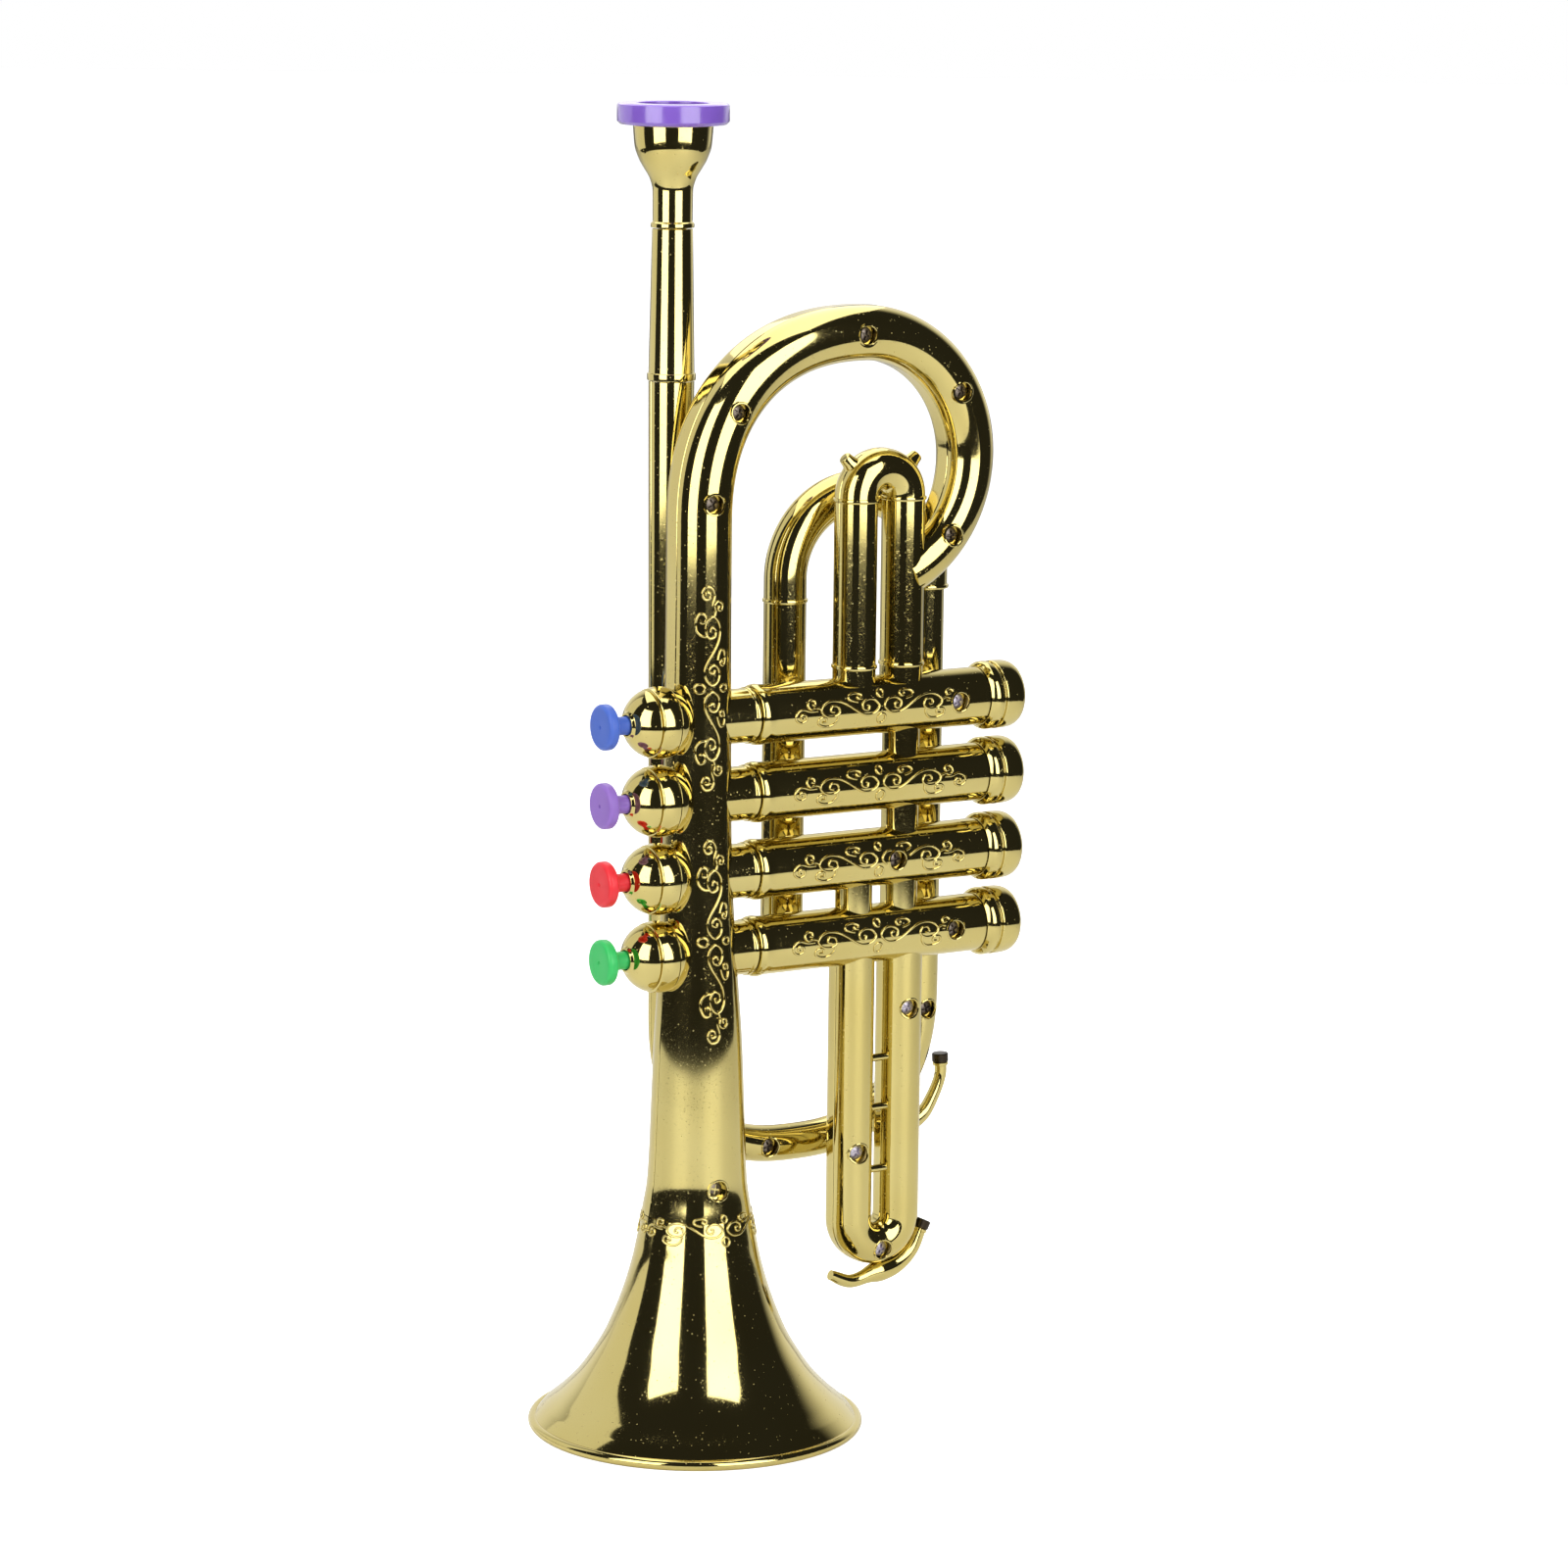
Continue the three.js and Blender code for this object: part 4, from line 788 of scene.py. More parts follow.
def finish_mesh(mesh, smooth=SMOOTH_ANGLE):
    """Smooth shading that keeps the edges over an angle"""
    mesh.shade_smooth()
    mesh.set_sharp_from_angle(angle=smooth)


def ride(piece, body, nodes):
    """Fixes a piece to a body, in place of the named nodes"""
    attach(piece, body)
    if nodes:
        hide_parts(*nodes)
    return piece


def place_piece(name, shape, nodes=(), finish="gold_plating", body="trumpet", wells=()):
    """Makes a piece in one finish, cuts its screw wells and fixes it to a body"""
    piece = make_object(name, shape, [finish])
    if wells:
        cut_wells(piece, wells)
    return ride(piece, body, nodes)


def plain_mesh(piece):
    """Turns a piece and its modifiers into a plain mesh"""
    bpy.context.view_layer.update()
    graph = bpy.context.evaluated_depsgraph_get()
    mesh = bpy.data.meshes.new_from_object(piece.evaluated_get(graph))
    piece.modifiers.clear()
    if piece.type == "MESH":
        piece.data = mesh
        return piece
    result = bpy.data.objects.new(piece.name + "_mesh", mesh)
    bpy.context.scene.collection.objects.link(result)
    bpy.data.objects.remove(piece)
    return result


def cut_wells(piece, sites):
    """Sinks the round wells that the screws lie in"""
    cutters = Shape()
    for x, z, y in sites:
        front, floor = y - WELL_CUT, y + SCREW_RECESS + SCREW_HEAD
        profile = [(front, 0), (front, WELL_RADIUS), (floor, WELL_RADIUS), (floor, 0)]
        turned(cutters, profile, (x, z), "y", WELL_SIDES)
    cutter = make_object("cutter", cutters, ["gold_plating"])
    modifier = piece.modifiers.new("wells", "BOOLEAN")
    modifier.operation = "DIFFERENCE"
    modifier.solver = "EXACT"
    modifier.object = cutter
    plain_mesh(piece)
    bpy.data.objects.remove(cutter)
    grid = bmesh.new()
    grid.from_mesh(piece.data)
    bmesh.ops.remove_doubles(grid, verts=grid.verts, dist=1e-6)
    grid.to_mesh(piece.data)
    grid.free()
    finish_mesh(piece.data)
    return piece


def add_well(shape, x, z, y, lift):
    """The cup below a well's opening; lift is how far the skin falls away at the well's side"""
    top, floor = y + lift + WELL_TUCK, y + SCREW_RECESS + SCREW_HEAD
    profile = [
        (top, WELL_RADIUS),
        (top, WELL_RADIUS + WELL_WALL),
        (floor + WELL_FLOOR, WELL_RADIUS + WELL_WALL),
        (floor + WELL_FLOOR, 0),
        (floor, 0),
        (floor, WELL_RADIUS),
    ]
    turned(shape, profile, (x, z), "y", WELL_SIDES)


def well_cups(route, sites, y=0, lift=None):
    """The cups and lips of the wells in a tube; lift is measured on the tube where it isn't given"""
    shape = Shape()
    for x, z in sites:
        depth = surface_depth(route, x, z, y)
        fall = max(surface_depth(route, x + WELL_RADIUS, z, y) - depth, 0) if lift is None else lift
        add_well(shape, x, z, depth, fall)
    add_lips(shape, sites, route, y)
    return shape


def add_lips(shape, sites, route, y=0):
    """The thin lip round each well, which follows the tube's skin"""
    reach = WELL_RADIUS + WELL_LIP * WELL_LIP_OUT
    for x, z in sites:
        ring = []
        for angle in np.linspace(0, 2 * math.pi, 48, endpoint=False):
            px, pz = x + reach * math.cos(angle), z + reach * math.sin(angle)
            ring.append((px, surface_depth(route, px, pz, y) + WELL_LIP * WELL_LIP_DOWN, pz))
        tube_along(shape, ring, WELL_LIP, 10, closed=True)


def ring_band(shape, x, radius, low, half, y=0, flat=0.0):
    """Half of a ferrule's ring round an upright tube"""
    arc = []
    for angle in np.linspace(0, math.pi, 29):
        depth = math.sin(angle) * radius
        if half == "rear":
            depth += flat
        arc.append((math.cos(angle) * radius, max(depth, SEAM)))
    if half == "rear" and flat > 2 * SEAM:
        arc = [(radius, SEAM)] + arc + [(-radius, SEAM)]
    sign = 1 if half == "rear" else -1
    high = low + FERRULE_LENGTH
    rings = []
    levels = [(low + along, grow) for along, grow in FERRULE_EDGE]
    levels += [(high - along, grow) for along, grow in reversed(FERRULE_EDGE)]
    for height, grow in levels:
        scale = (radius + grow) / radius
        rings.append([(x + a * scale, y + sign * max(d * scale, SEAM), height) for a, d in arc])
    shape.loft(rings)


# Materials
def node(tree, kind, place, **values):
    """A node at a place, with its settings"""
    made = tree.nodes.new(kind)
    made.location = place
    for key, value in values.items():
        setattr(made, key, value)
    return made


def link(tree, source, target):
    """Joins an output to an input"""
    tree.links.new(source, target)


def group_tree(name, inputs, outputs):
    """A shader node group with named inputs and outputs"""
    tree = bpy.data.node_groups.new(name, "ShaderNodeTree")
    for label, kind, value in inputs:
        socket = tree.interface.new_socket(label, in_out="INPUT", socket_type=kind)
        if value is not None:
            socket.default_value = value
    for label, kind in outputs:
        tree.interface.new_socket(label, in_out="OUTPUT", socket_type=kind)
    start = node(tree, "NodeGroupInput", (-900, 0))
    end = node(tree, "NodeGroupOutput", (900, 0))
    return tree, start, end


def make_skin_group():
    """Slow colour drift, fine pits, specks and a wavy skin, on Object coordinates in metres"""
    tree, start, end = group_tree(
        "Moulded Skin",
        [
            ("Drift Size", "NodeSocketFloat", 90.0),
            ("Pit Size", "NodeSocketFloat", 900.0),
            ("Pit Amount", "NodeSocketFloat", 0.5),
            ("Wave Height", "NodeSocketFloat", 0.4),
            ("Pit Height", "NodeSocketFloat", 0.3),
            ("Speck Size", "NodeSocketFloat", 900.0),
            ("Speck Share", "NodeSocketFloat", 0.0),
        ],
        [("Drift", "NodeSocketFloat"), ("Specks", "NodeSocketFloat"), ("Normal", "NodeSocketVector")],
    )
    place = node(tree, "ShaderNodeTexCoord", (-900, 300))
    drift = node(tree, "ShaderNodeTexNoise", (-600, 300), noise_dimensions="3D")
    drift.inputs["Detail"].default_value = 1
    link(tree, place.outputs["Object"], drift.inputs["Vector"])
    link(tree, start.outputs["Drift Size"], drift.inputs["Scale"])
    pits = node(tree, "ShaderNodeTexNoise", (-600, 0), noise_dimensions="3D")
    pits.inputs["Detail"].default_value = 4
    pits.inputs["Roughness"].default_value = 0.6
    link(tree, place.outputs["Object"], pits.inputs["Vector"])
    link(tree, start.outputs["Pit Size"], pits.inputs["Scale"])
    pit_mask = node(tree, "ShaderNodeMapRange", (-300, 0), interpolation_type="SMOOTHSTEP")
    pit_mask.inputs["From Min"].default_value = 0.60
    pit_mask.inputs["From Max"].default_value = 0.72
    link(tree, pits.outputs["Fac"], pit_mask.inputs["Value"])
    pit_share = node(tree, "ShaderNodeMath", (-100, 0), operation="MULTIPLY")
    link(tree, pit_mask.outputs["Result"], pit_share.inputs[0])
    link(tree, start.outputs["Pit Amount"], pit_share.inputs[1])
    wave = node(tree, "ShaderNodeBump", (100, 300))
    wave.inputs["Distance"].default_value = 0.0004
    link(tree, drift.outputs["Fac"], wave.inputs["Height"])
    link(tree, start.outputs["Wave Height"], wave.inputs["Strength"])
    dents = node(tree, "ShaderNodeBump", (350, 200), invert=True)
    dents.inputs["Distance"].default_value = 0.00006
    link(tree, pit_share.outputs["Value"], dents.inputs["Height"])
    link(tree, start.outputs["Pit Height"], dents.inputs["Strength"])
    link(tree, wave.outputs["Normal"], dents.inputs["Normal"])
    cells = node(tree, "ShaderNodeTexVoronoi", (-600, -350), feature="F1")
    link(tree, place.outputs["Object"], cells.inputs["Vector"])
    link(tree, start.outputs["Speck Size"], cells.inputs["Scale"])
    dot = node(tree, "ShaderNodeMapRange", (-300, -300), interpolation_type="SMOOTHSTEP")
    dot.inputs["From Min"].default_value = 0.22
    dot.inputs["From Max"].default_value = 0.12
    link(tree, cells.outputs["Distance"], dot.inputs["Value"])
    kept = node(tree, "ShaderNodeMath", (-300, -550), operation="LESS_THAN")
    link(tree, cells.outputs["Color"], kept.inputs[0])
    link(tree, start.outputs["Speck Share"], kept.inputs[1])
    specks = node(tree, "ShaderNodeMath", (-100, -400), operation="MULTIPLY")
    link(tree, dot.outputs["Result"], specks.inputs[0])
    link(tree, kept.outputs["Value"], specks.inputs[1])
    link(tree, drift.outputs["Fac"], end.inputs["Drift"])
    link(tree, specks.outputs["Value"], end.inputs["Specks"])
    link(tree, dents.outputs["Normal"], end.inputs["Normal"])


def skin(tree, **values):
    """The shared skin group in a material, with its inputs set by name"""
    made = node(tree, "ShaderNodeGroup", (-700, 0))
    made.node_tree = bpy.data.node_groups["Moulded Skin"]
    for label, value in values.items():
        made.inputs[label.replace("_", " ")].default_value = value
    return made


def new_material(name):
    """A material's tree with only a Principled shader, and that shader"""
    material = bpy.data.materials.new(LOOK + name)
    material.use_nodes = True
    tree = material.node_tree
    tree.nodes.clear()
    shader = node(tree, "ShaderNodeBsdfPrincipled", (300, 0))
    output = node(tree, "ShaderNodeOutputMaterial", (600, 0))
    link(tree, shader.outputs["BSDF"], output.inputs["Surface"])
    return tree, shader


def blend_colours(tree, factor, first, second, place=(-300, 200)):
    """Mixes two fixed colours by a factor"""
    mix = node(tree, "ShaderNodeMix", place, data_type="RGBA")
    mix.inputs[6].default_value = (*first, 1)
    mix.inputs[7].default_value = (*second, 1)
    link(tree, factor, mix.inputs[0])
    return mix.outputs[2]


def spread_value(tree, source, low, high):
    """Maps a value from 0 to 1 to another range"""
    ramp = node(tree, "ShaderNodeMapRange", (-300, -200))
    ramp.inputs["To Min"].default_value = low
    ramp.inputs["To Max"].default_value = high
    link(tree, source, ramp.inputs["Value"])
    return ramp.outputs["Result"]


def metal_material(name, first, second, roughness, spread, **skin_values):
    """A bare metal that drifts between two colours, with rougher specks"""
    tree, shader = new_material(name)
    group = skin(tree, **skin_values)
    drift = group.outputs["Drift"]
    link(tree, blend_colours(tree, drift, first, second), shader.inputs["Base Color"])
    rough = node(tree, "ShaderNodeMix", (-100, -250), data_type="FLOAT")
    link(tree, group.outputs["Specks"], rough.inputs[0])
    link(tree, spread_value(tree, drift, roughness, roughness + spread), rough.inputs[2])
    rough.inputs[3].default_value = SPECK_ROUGHNESS
    link(tree, rough.outputs[0], shader.inputs["Roughness"])
    link(tree, group.outputs["Normal"], shader.inputs["Normal"])
    shader.inputs["Metallic"].default_value = 1


def plastic_material(name, colour, roughness, coat=0.0):
    """A coloured moulding, a little shaded in places; coat is the share of a polished skin"""
    tree, shader = new_material(name)
    group = skin(
        tree, Drift_Size=120.0, Pit_Size=2600.0, Pit_Amount=0.35, Wave_Height=0.1, Pit_Height=0.25
    )
    drift = group.outputs["Drift"]
    shade = tuple(PLASTIC_SHADE * part for part in colour)
    link(tree, blend_colours(tree, drift, shade, colour), shader.inputs["Base Color"])
    rough = spread_value(tree, drift, roughness, roughness + PLASTIC_SPREAD)
    link(tree, rough, shader.inputs["Roughness"])
    link(tree, group.outputs["Normal"], shader.inputs["Normal"])
    shader.inputs["Subsurface Weight"].default_value = 0.15
    shader.inputs["Subsurface Radius"].default_value = (0.4, 0.3, 0.3)
    shader.inputs["Subsurface Scale"].default_value = 0.002
    shader.inputs["Coat Weight"].default_value = coat
    shader.inputs["Coat IOR"].default_value = 1.5
    shader.inputs["Coat Roughness"].default_value = 0.12


def make_materials(finish):
    """All finishes of the trumpet"""
    make_skin_group()
    metal_material(
        "gold_plating",
        tuple(finish.gold_deep),
        tuple(finish.gold),
        finish.roughness,
        0.05,
        Drift_Size=38.0,
        Pit_Size=1500.0,
        Pit_Amount=0.6,
        Wave_Height=0.2,
        Pit_Height=0.1,
        Speck_Share=0.31,
    )
    for name, (*look, pits) in METALS.items():
        metal_material(name, *look, Pit_Size=pits)
    for colour in KEY_COLOURS:
        plastic_material(colour + "_plastic", tuple(getattr(finish, colour)), KEY_ROUGHNESS)
    plastic_material("purple_plastic", tuple(finish.purple), RING_ROUGHNESS, coat=1.0)
    plastic_material("rubber", RUBBER, RUBBER_ROUGHNESS)


def input_sockets(tree):
    """Identifiers of a tree's inputs by name"""
    items = tree.interface.items_tree
    return {item.name: item.identifier for item in items if item.in_out == "INPUT"}


# Raised lines
def scroll_paths():
    """Both halves of the scroll ornament as rows of [along, across]"""
    paths = []
    for sign in (1, -1):
        for line in SCROLL_LINES:
            length = sum(math.dist(first, second) for first, second in zip(line, line[1:]))
            places = [(sign * along, across, 0) for along, across in line]
            points = curve_points(places, int(length / SCROLL_SPACING))
            paths.append([(point[0], point[1]) for point in points])
    angles = np.linspace(0, 2 * math.pi, 33)
    for across, radius in zip(SCROLL_RINGS, SCROLL_RING_RADII):
        reach = radius * SCROLL_RING_SQUASH
        paths.append([(reach * math.cos(a), across + radius * math.sin(a)) for a in angles])
    return paths


def line_tree():
    """A round bead along every line, in a finish"""
    tree = bpy.data.node_groups.new("Raised Lines", "GeometryNodeTree")
    tree.interface.new_socket("Geometry", in_out="INPUT", socket_type="NodeSocketGeometry")
    tree.interface.new_socket("Wire Radius", in_out="INPUT", socket_type="NodeSocketFloat")
    tree.interface.new_socket("Sides", in_out="INPUT", socket_type="NodeSocketInt")
    tree.interface.new_socket("Material", in_out="INPUT", socket_type="NodeSocketMaterial")
    tree.interface.new_socket("Geometry", in_out="OUTPUT", socket_type="NodeSocketGeometry")
    start = node(tree, "NodeGroupInput", (-600, 0))
    end = node(tree, "NodeGroupOutput", (800, 0))
    circle = node(tree, "GeometryNodeCurvePrimitiveCircle", (-300, -200), mode="RADIUS")
    link(tree, start.outputs["Wire Radius"], circle.inputs["Radius"])
    link(tree, start.outputs["Sides"], circle.inputs["Resolution"])
    bead = node(tree, "GeometryNodeCurveToMesh", (0, 0))
    bead.inputs["Fill Caps"].default_value = True
    link(tree, start.outputs["Geometry"], bead.inputs["Curve"])
    link(tree, circle.outputs["Curve"], bead.inputs["Profile Curve"])
    real = node(tree, "GeometryNodeRealizeInstances", (250, 0))
    link(tree, bead.outputs["Mesh"], real.inputs["Geometry"])
    paint = node(tree, "GeometryNodeSetMaterial", (500, 0))
    link(tree, real.outputs["Geometry"], paint.inputs["Geometry"])
    link(tree, start.outputs["Material"], paint.inputs["Material"])
    link(tree, paint.outputs["Geometry"], end.inputs["Geometry"])
    return tree


def raise_lines(name, lines):
    """Beads along lines of points in drawing millimetres"""
    curve = bpy.data.curves.new(name, "CURVE")
    curve.dimensions = "3D"
    for line in lines:
        spline = curve.splines.new("POLY")
        spline.points.add(len(line) - 1)
        for point, (x, y, z) in zip(spline.points, line):
            point.co = ((x - FRAME_X) * MM, y * MM, z * MM, 1)
    piece = bpy.data.objects.new(name, curve)
    bpy.context.scene.collection.objects.link(piece)
    tree = bpy.data.node_groups.get("Raised Lines") or line_tree()
    modifier = piece.modifiers.new("beads", "NODES")
    modifier.node_group = tree
    sockets = input_sockets(tree)
    modifier[sockets["Wire Radius"]] = SCROLL_WIRE * MM
    modifier[sockets["Sides"]] = SCROLL_WIRE_SIDES
    modifier[sockets["Material"]] = bpy.data.materials[LOOK + "gold_plating"]
    plain = plain_mesh(piece)
    finish_mesh(plain.data, BEAD_SMOOTH_ANGLE)
    ride(plain, "trumpet", [])


def clear_of(line, sites):
    """The stretches of a line that keep off the screw wells"""
    reach = WELL_RADIUS + 2 * WELL_LIP + SCROLL_WIRE
    stretches, current = [], []
    for point in line:
        if all(math.dist((point[0], point[2]), site) > reach for site in sites):
            current.append(point)
            continue
        if len(current) > 2:
            stretches.append(current)
        current = []
    return stretches + ([current] if len(current) > 2 else [])


def bell_radii(settings, heights):
    """The bell's outer radius at heights"""
    rises, widens = zip(*BELL_SHARES)
    neck = mm(settings.neck_radius)
    flare = mm(settings.rim_radius) - mm(settings.rim_bead) - neck
    knots = [rise * mm(settings.bell_height) for rise in rises]
    return neck + flare * smooth_values(knots, widens, heights)


def build_scrolls(settings):
    """Lays the scrolls on the bell tube, the casings and the bell's neck"""
    route = body_route(settings)
    paths = scroll_paths()
    lines = []
    for middle, turn in TUBE_SCROLLS:
        for path in paths:
            line = []
            for along, across in path:
                height = middle - along
                radius = leg_radius(route, height)
                angle = math.radians(turn) + across / radius
                line.append((radius * math.sin(angle), -radius * math.cos(angle), height))
            lines += clear_of(line, LOOP_SCREWS)
    raise_lines("body_front_scrolls", lines)
    lines = []
    middle, turn = CASING_SCROLL
    for height in VALVE_HEIGHTS:
        for path in paths:
            line = []
            for along, across in path:
                angle = math.radians(turn) + across / CASING_RADIUS
                depth, rise = -CASING_RADIUS * math.cos(angle), CASING_RADIUS * math.sin(angle)
                line.append((middle + along, depth, height + rise))
            lines += clear_of(line, VALVE_SCREWS)
    raise_lines("valve_casings_front_scrolls", lines)
    lines = []
    for start in (0, math.pi):
        for path in paths:
            line = []
            for along, across in path:
                height = NECK_SCROLL_HEIGHT + across * NECK_SCROLL_SCALE
                if height > mm(settings.bell_height):
                    radius = leg_radius(route, height)
                else:
                    radius = float(bell_radii(settings, [height])[0])
                angle = start + along * NECK_SCROLL_SCALE / mm(settings.neck_radius)
                line.append((radius * math.sin(angle), -radius * math.cos(angle), height))
            lines.append(line)
    raise_lines("bell_scrolls", lines)


# Pieces
def build_halves(settings, name, suffix, route, y=0, flat=None, bulge=None, sites=(), details=None):
    """A tube in two half shells, with screw wells cut in front; details adds to each half"""
    wells = [(x, z, surface_depth(route, x, z, y)) for x, z in sites]
    for half in HALVES:
        shape = swept_half(Shape(), route, half == "rear", settings, y, flat, bulge)
        if details:
            details(shape, half)
        cuts = wells if half == "front" else ()
        place_piece(f"{name}_{half}_{suffix}", shape, [f"{name}_{half}"], wells=cuts)


def build_bell(settings):
    """Turns the bell: its flare, the rolled rim, the flat ring under it and the spigot"""
    height = mm(settings.bell_height)
    rim = mm(settings.rim_radius)
    bead = mm(settings.rim_bead)
    wall = mm(settings.wall)
    heights = np.linspace(BELL_SHARES[0][0], 1, 90) * height
    radii = bell_radii(settings, heights)
    outer = list(zip(heights[::-1], radii[::-1]))
    angles = np.linspace(ROLL_START, -math.pi / 2, 22)
    rolled = [(bead + bead * math.sin(a), rim - bead + bead * math.cos(a)) for a in angles]
    slopes = np.gradient(radii[::-1], heights[::-1])
    lengths = np.sqrt(1 + slopes**2)
    inner = [
        (z + wall * slope / length, r - wall / length)
        for (z, r), slope, length in zip(outer, slopes, lengths)
    ][::-1]
    top = height + NECK_SPIGOT
    spigot = [
        (top, NECK_SPIGOT_RADIUS - wall),
        (top, NECK_SPIGOT_RADIUS - NECK_SPIGOT_TAPER),
        (height, NECK_SPIGOT_RADIUS),
    ]
    profile = spigot + outer + rolled + [(0, rim - bead - RIM_FLAT)] + inner
    place_piece("bell_turned", turned(Shape(), profile, (0, 0), "z", 160), ["bell"])


def leg_radius(route, height):
    """The bell tube's radius on its straight leg"""
    rows = np.asarray(route)
    straight = rows[rows[:, 0] < 1e-6]
    return float(np.interp(height, straight[:, 1], straight[:, 2]))


def body_flat(widen):
    """The rear half's straight wall, which fades where the tube widens"""
    return max(REAR_FLAT * (1 - widen) ** 2, CLEARANCE)


def body_bulge(widen):
    """The share of a full round that the rear half has"""
    return REAR_ROUND_SHARE + (1 - REAR_ROUND_SHARE) * widen


def seam_ease(edge, sign, ease):
    """The rounding of a ball's outer edge at a seam or groove, from the ball to the edge"""
    at = edge + sign * ease
    radius = math.sqrt(BALL_RADIUS**2 - (at - BALL_CENTRE) ** 2)
    return [
        (at - sign * ease * math.sin(a), radius - ease * (1 - math.cos(a)))
        for a in np.linspace(0, math.pi / 2, 8)[1:]
    ]


def ball_arc(radius, start, end, steps):
    """[along, radius] on a ball's skin between two angles from +X"""
    return [
        (BALL_CENTRE + radius * math.cos(a), radius * math.sin(a)) for a in np.linspace(start, end, steps)
    ]


def build_body(settings):
    """The bell tube with its loop in two half shells, and the key chambers and stubs on each"""
    route = body_route(settings)
    sites = (*LOOP_SCREWS, BELL_SCREW)
    build_halves(settings, "body", "tube", route, 0, body_flat, body_bulge, sites, add_posts)
    place_piece("body_front_wells", well_cups(route, sites))
    for half in HALVES:
        place_piece(f"body_{half}_chambers", chambers(settings, half))


def add_posts(shape, half):
    """The posts from the rear of the bell tube to the leadpipe"""
    if half == "rear":
        end = REAR_Y - POST_REACH
        post = [(REAR_FLAT, 0), (REAR_FLAT, POST_RADIUS), (end, POST_RADIUS), (end, 0)]
        for height in POST_HEIGHTS:
            turned(shape, post, (LEADPIPE_X, height), "y", 32)


def chambers(settings, half):
    """The tube's side of the four balls, and the stubs that carry the casings"""
    wall = mm(settings.wall)
    start = BALL_SEAM + SEAM
    inside = BALL_RADIUS - wall
    first = math.acos((start + SEAM_EASE - BALL_CENTRE) / BALL_RADIUS)
    second = math.acos((start - BALL_CENTRE) / inside)
    ball = seam_ease(start, 1, SEAM_EASE)[::-1] + ball_arc(BALL_RADIUS, first, BALL_OPENING, 24)
    ball += ball_arc(inside, BALL_OPENING, second, 16)
    spigot = CASING_RADIUS - wall - CLEARANCE
    end = STUB_END + SPIGOT_LENGTH
    stub = [(STUB_START, STUB_RADIUS), (STUB_START + STUB_LEAD, STUB_RADIUS)]
    stub += [(STUB_END + along, STUB_RADIUS + grow) for along, grow in STUB_FLANGE]
    stub += [(STUB_END, spigot), (end, spigot), (end, spigot - wall), (STUB_START, spigot - wall)]
    shape = Shape()
    for height in VALVE_HEIGHTS:
        for profile in (rounded(ball, 0.15), rounded(stub, 0.2)):
            turned(shape, profile, (0, height), "x", settings.turned_sides, half=half)
    return shape


def build_keys(settings):
    """Each key's cap, button, seal and spring"""
    for number, (height, body, colour) in enumerate(zip(VALVE_HEIGHTS, KEY_BODIES, KEY_COLOURS), 1):
        build_cap(settings, number, height)
        build_button(settings, number, height, body, colour + "_plastic")
        build_seal(number, height, body)
        build_spring(number, height)


def build_cap(settings, number, height):
    """The ball's left dome, with its groove and the hole for the stem"""
    hole = STEM_RADIUS + CLEARANCE
    face = BALL_CENTRE - BALL_RADIUS - CAP_FACE
    edge = BALL_SEAM - SEAM
    inside = BALL_RADIUS - mm(settings.wall)
    root_angle = math.pi - math.asin((hole + CAP_FACE_FOOT) / BALL_RADIUS)
    edge_angle = math.acos((edge - SEAM_EASE - BALL_CENTRE) / BALL_RADIUS)
    groove = [
        math.acos((BALL_GROOVE + sign * GROOVE_EASE - BALL_CENTRE) / BALL_RADIUS) for sign in (-1, 1)
    ]
    dip = seam_ease(BALL_GROOVE, -1, GROOVE_EASE) + seam_ease(BALL_GROOVE, 1, GROOVE_EASE)[-2::-1]
    outer = ball_arc(BALL_RADIUS, root_angle, groove[0], 24) + dip
    outer += ball_arc(BALL_RADIUS, groove[1], edge_angle, 24) + seam_ease(edge, -1, SEAM_EASE)
    inner_angle = math.acos((edge - BALL_CENTRE) / inside)
    seat_angle = math.acos((SEAT_X - BALL_CENTRE) / inside)
    inner = ball_arc(inside, inner_angle, seat_angle, 20)
    profile = [(face, hole), (face, hole + CAP_FACE_WIDTH)] + outer + inner + [(SEAT_X, hole)]
    cap = turned(Shape(), rounded(profile, 0.3), (0, height), "x", settings.turned_sides)
    place_piece(f"key_cap_{number}_turned", cap, [f"key_cap_{number}"])


def build_button(settings, number, height, body, finish):
    """The key's button, stem, flange and pin in one moulding"""
    back = BUTTON_FACE + BUTTON_THICKNESS
    flange = SEAT_X + CLEARANCE + SEAL_THICKNESS + CLEARANCE
    pin = flange + FLANGE_THICKNESS
    profile = [(BUTTON_FACE + along, radius) for along, radius in BUTTON_GATE]
    profile += [
        (BUTTON_FACE, BUTTON_RADIUS - BUTTON_EDGE),
        (BUTTON_FACE + BUTTON_EDGE, BUTTON_RADIUS),
        (back - BUTTON_RIM, BUTTON_RADIUS),
        (back, BUTTON_RADIUS - BUTTON_EDGE),
        (back, STEM_SHOULDER_RADIUS),
        (back + STEM_SHOULDER, STEM_RADIUS),
        (flange, STEM_RADIUS),
        (flange, FLANGE_RADIUS),
        (pin, FLANGE_RADIUS),
        (pin, PIN_RADIUS),
        (pin + PIN_LENGTH, PIN_RADIUS),
        (pin + PIN_LENGTH, 0),
    ]
    button = turned(Shape(), rounded(profile, 0.45), (0, height), "x", settings.turned_sides)
    place_piece(f"button_{number}_moulded", button, [f"button_{number}"], finish, body)


def build_seal(number, height, body):
    """The rubber ring that closes the cap's hole"""
    start, hole = SEAT_X + CLEARANCE, STEM_RADIUS + CLEARANCE
    end = start + SEAL_THICKNESS
    profile = [(start, hole), (start, SEAL_RADIUS), (end, SEAL_RADIUS), (end, hole)]
    ring = turned(Shape(), rounded(profile, 0.2), (0, height), "x", 48)
    place_piece(f"seal_{number}_ring", ring, [f"seal_{number}"], "rubber", body)


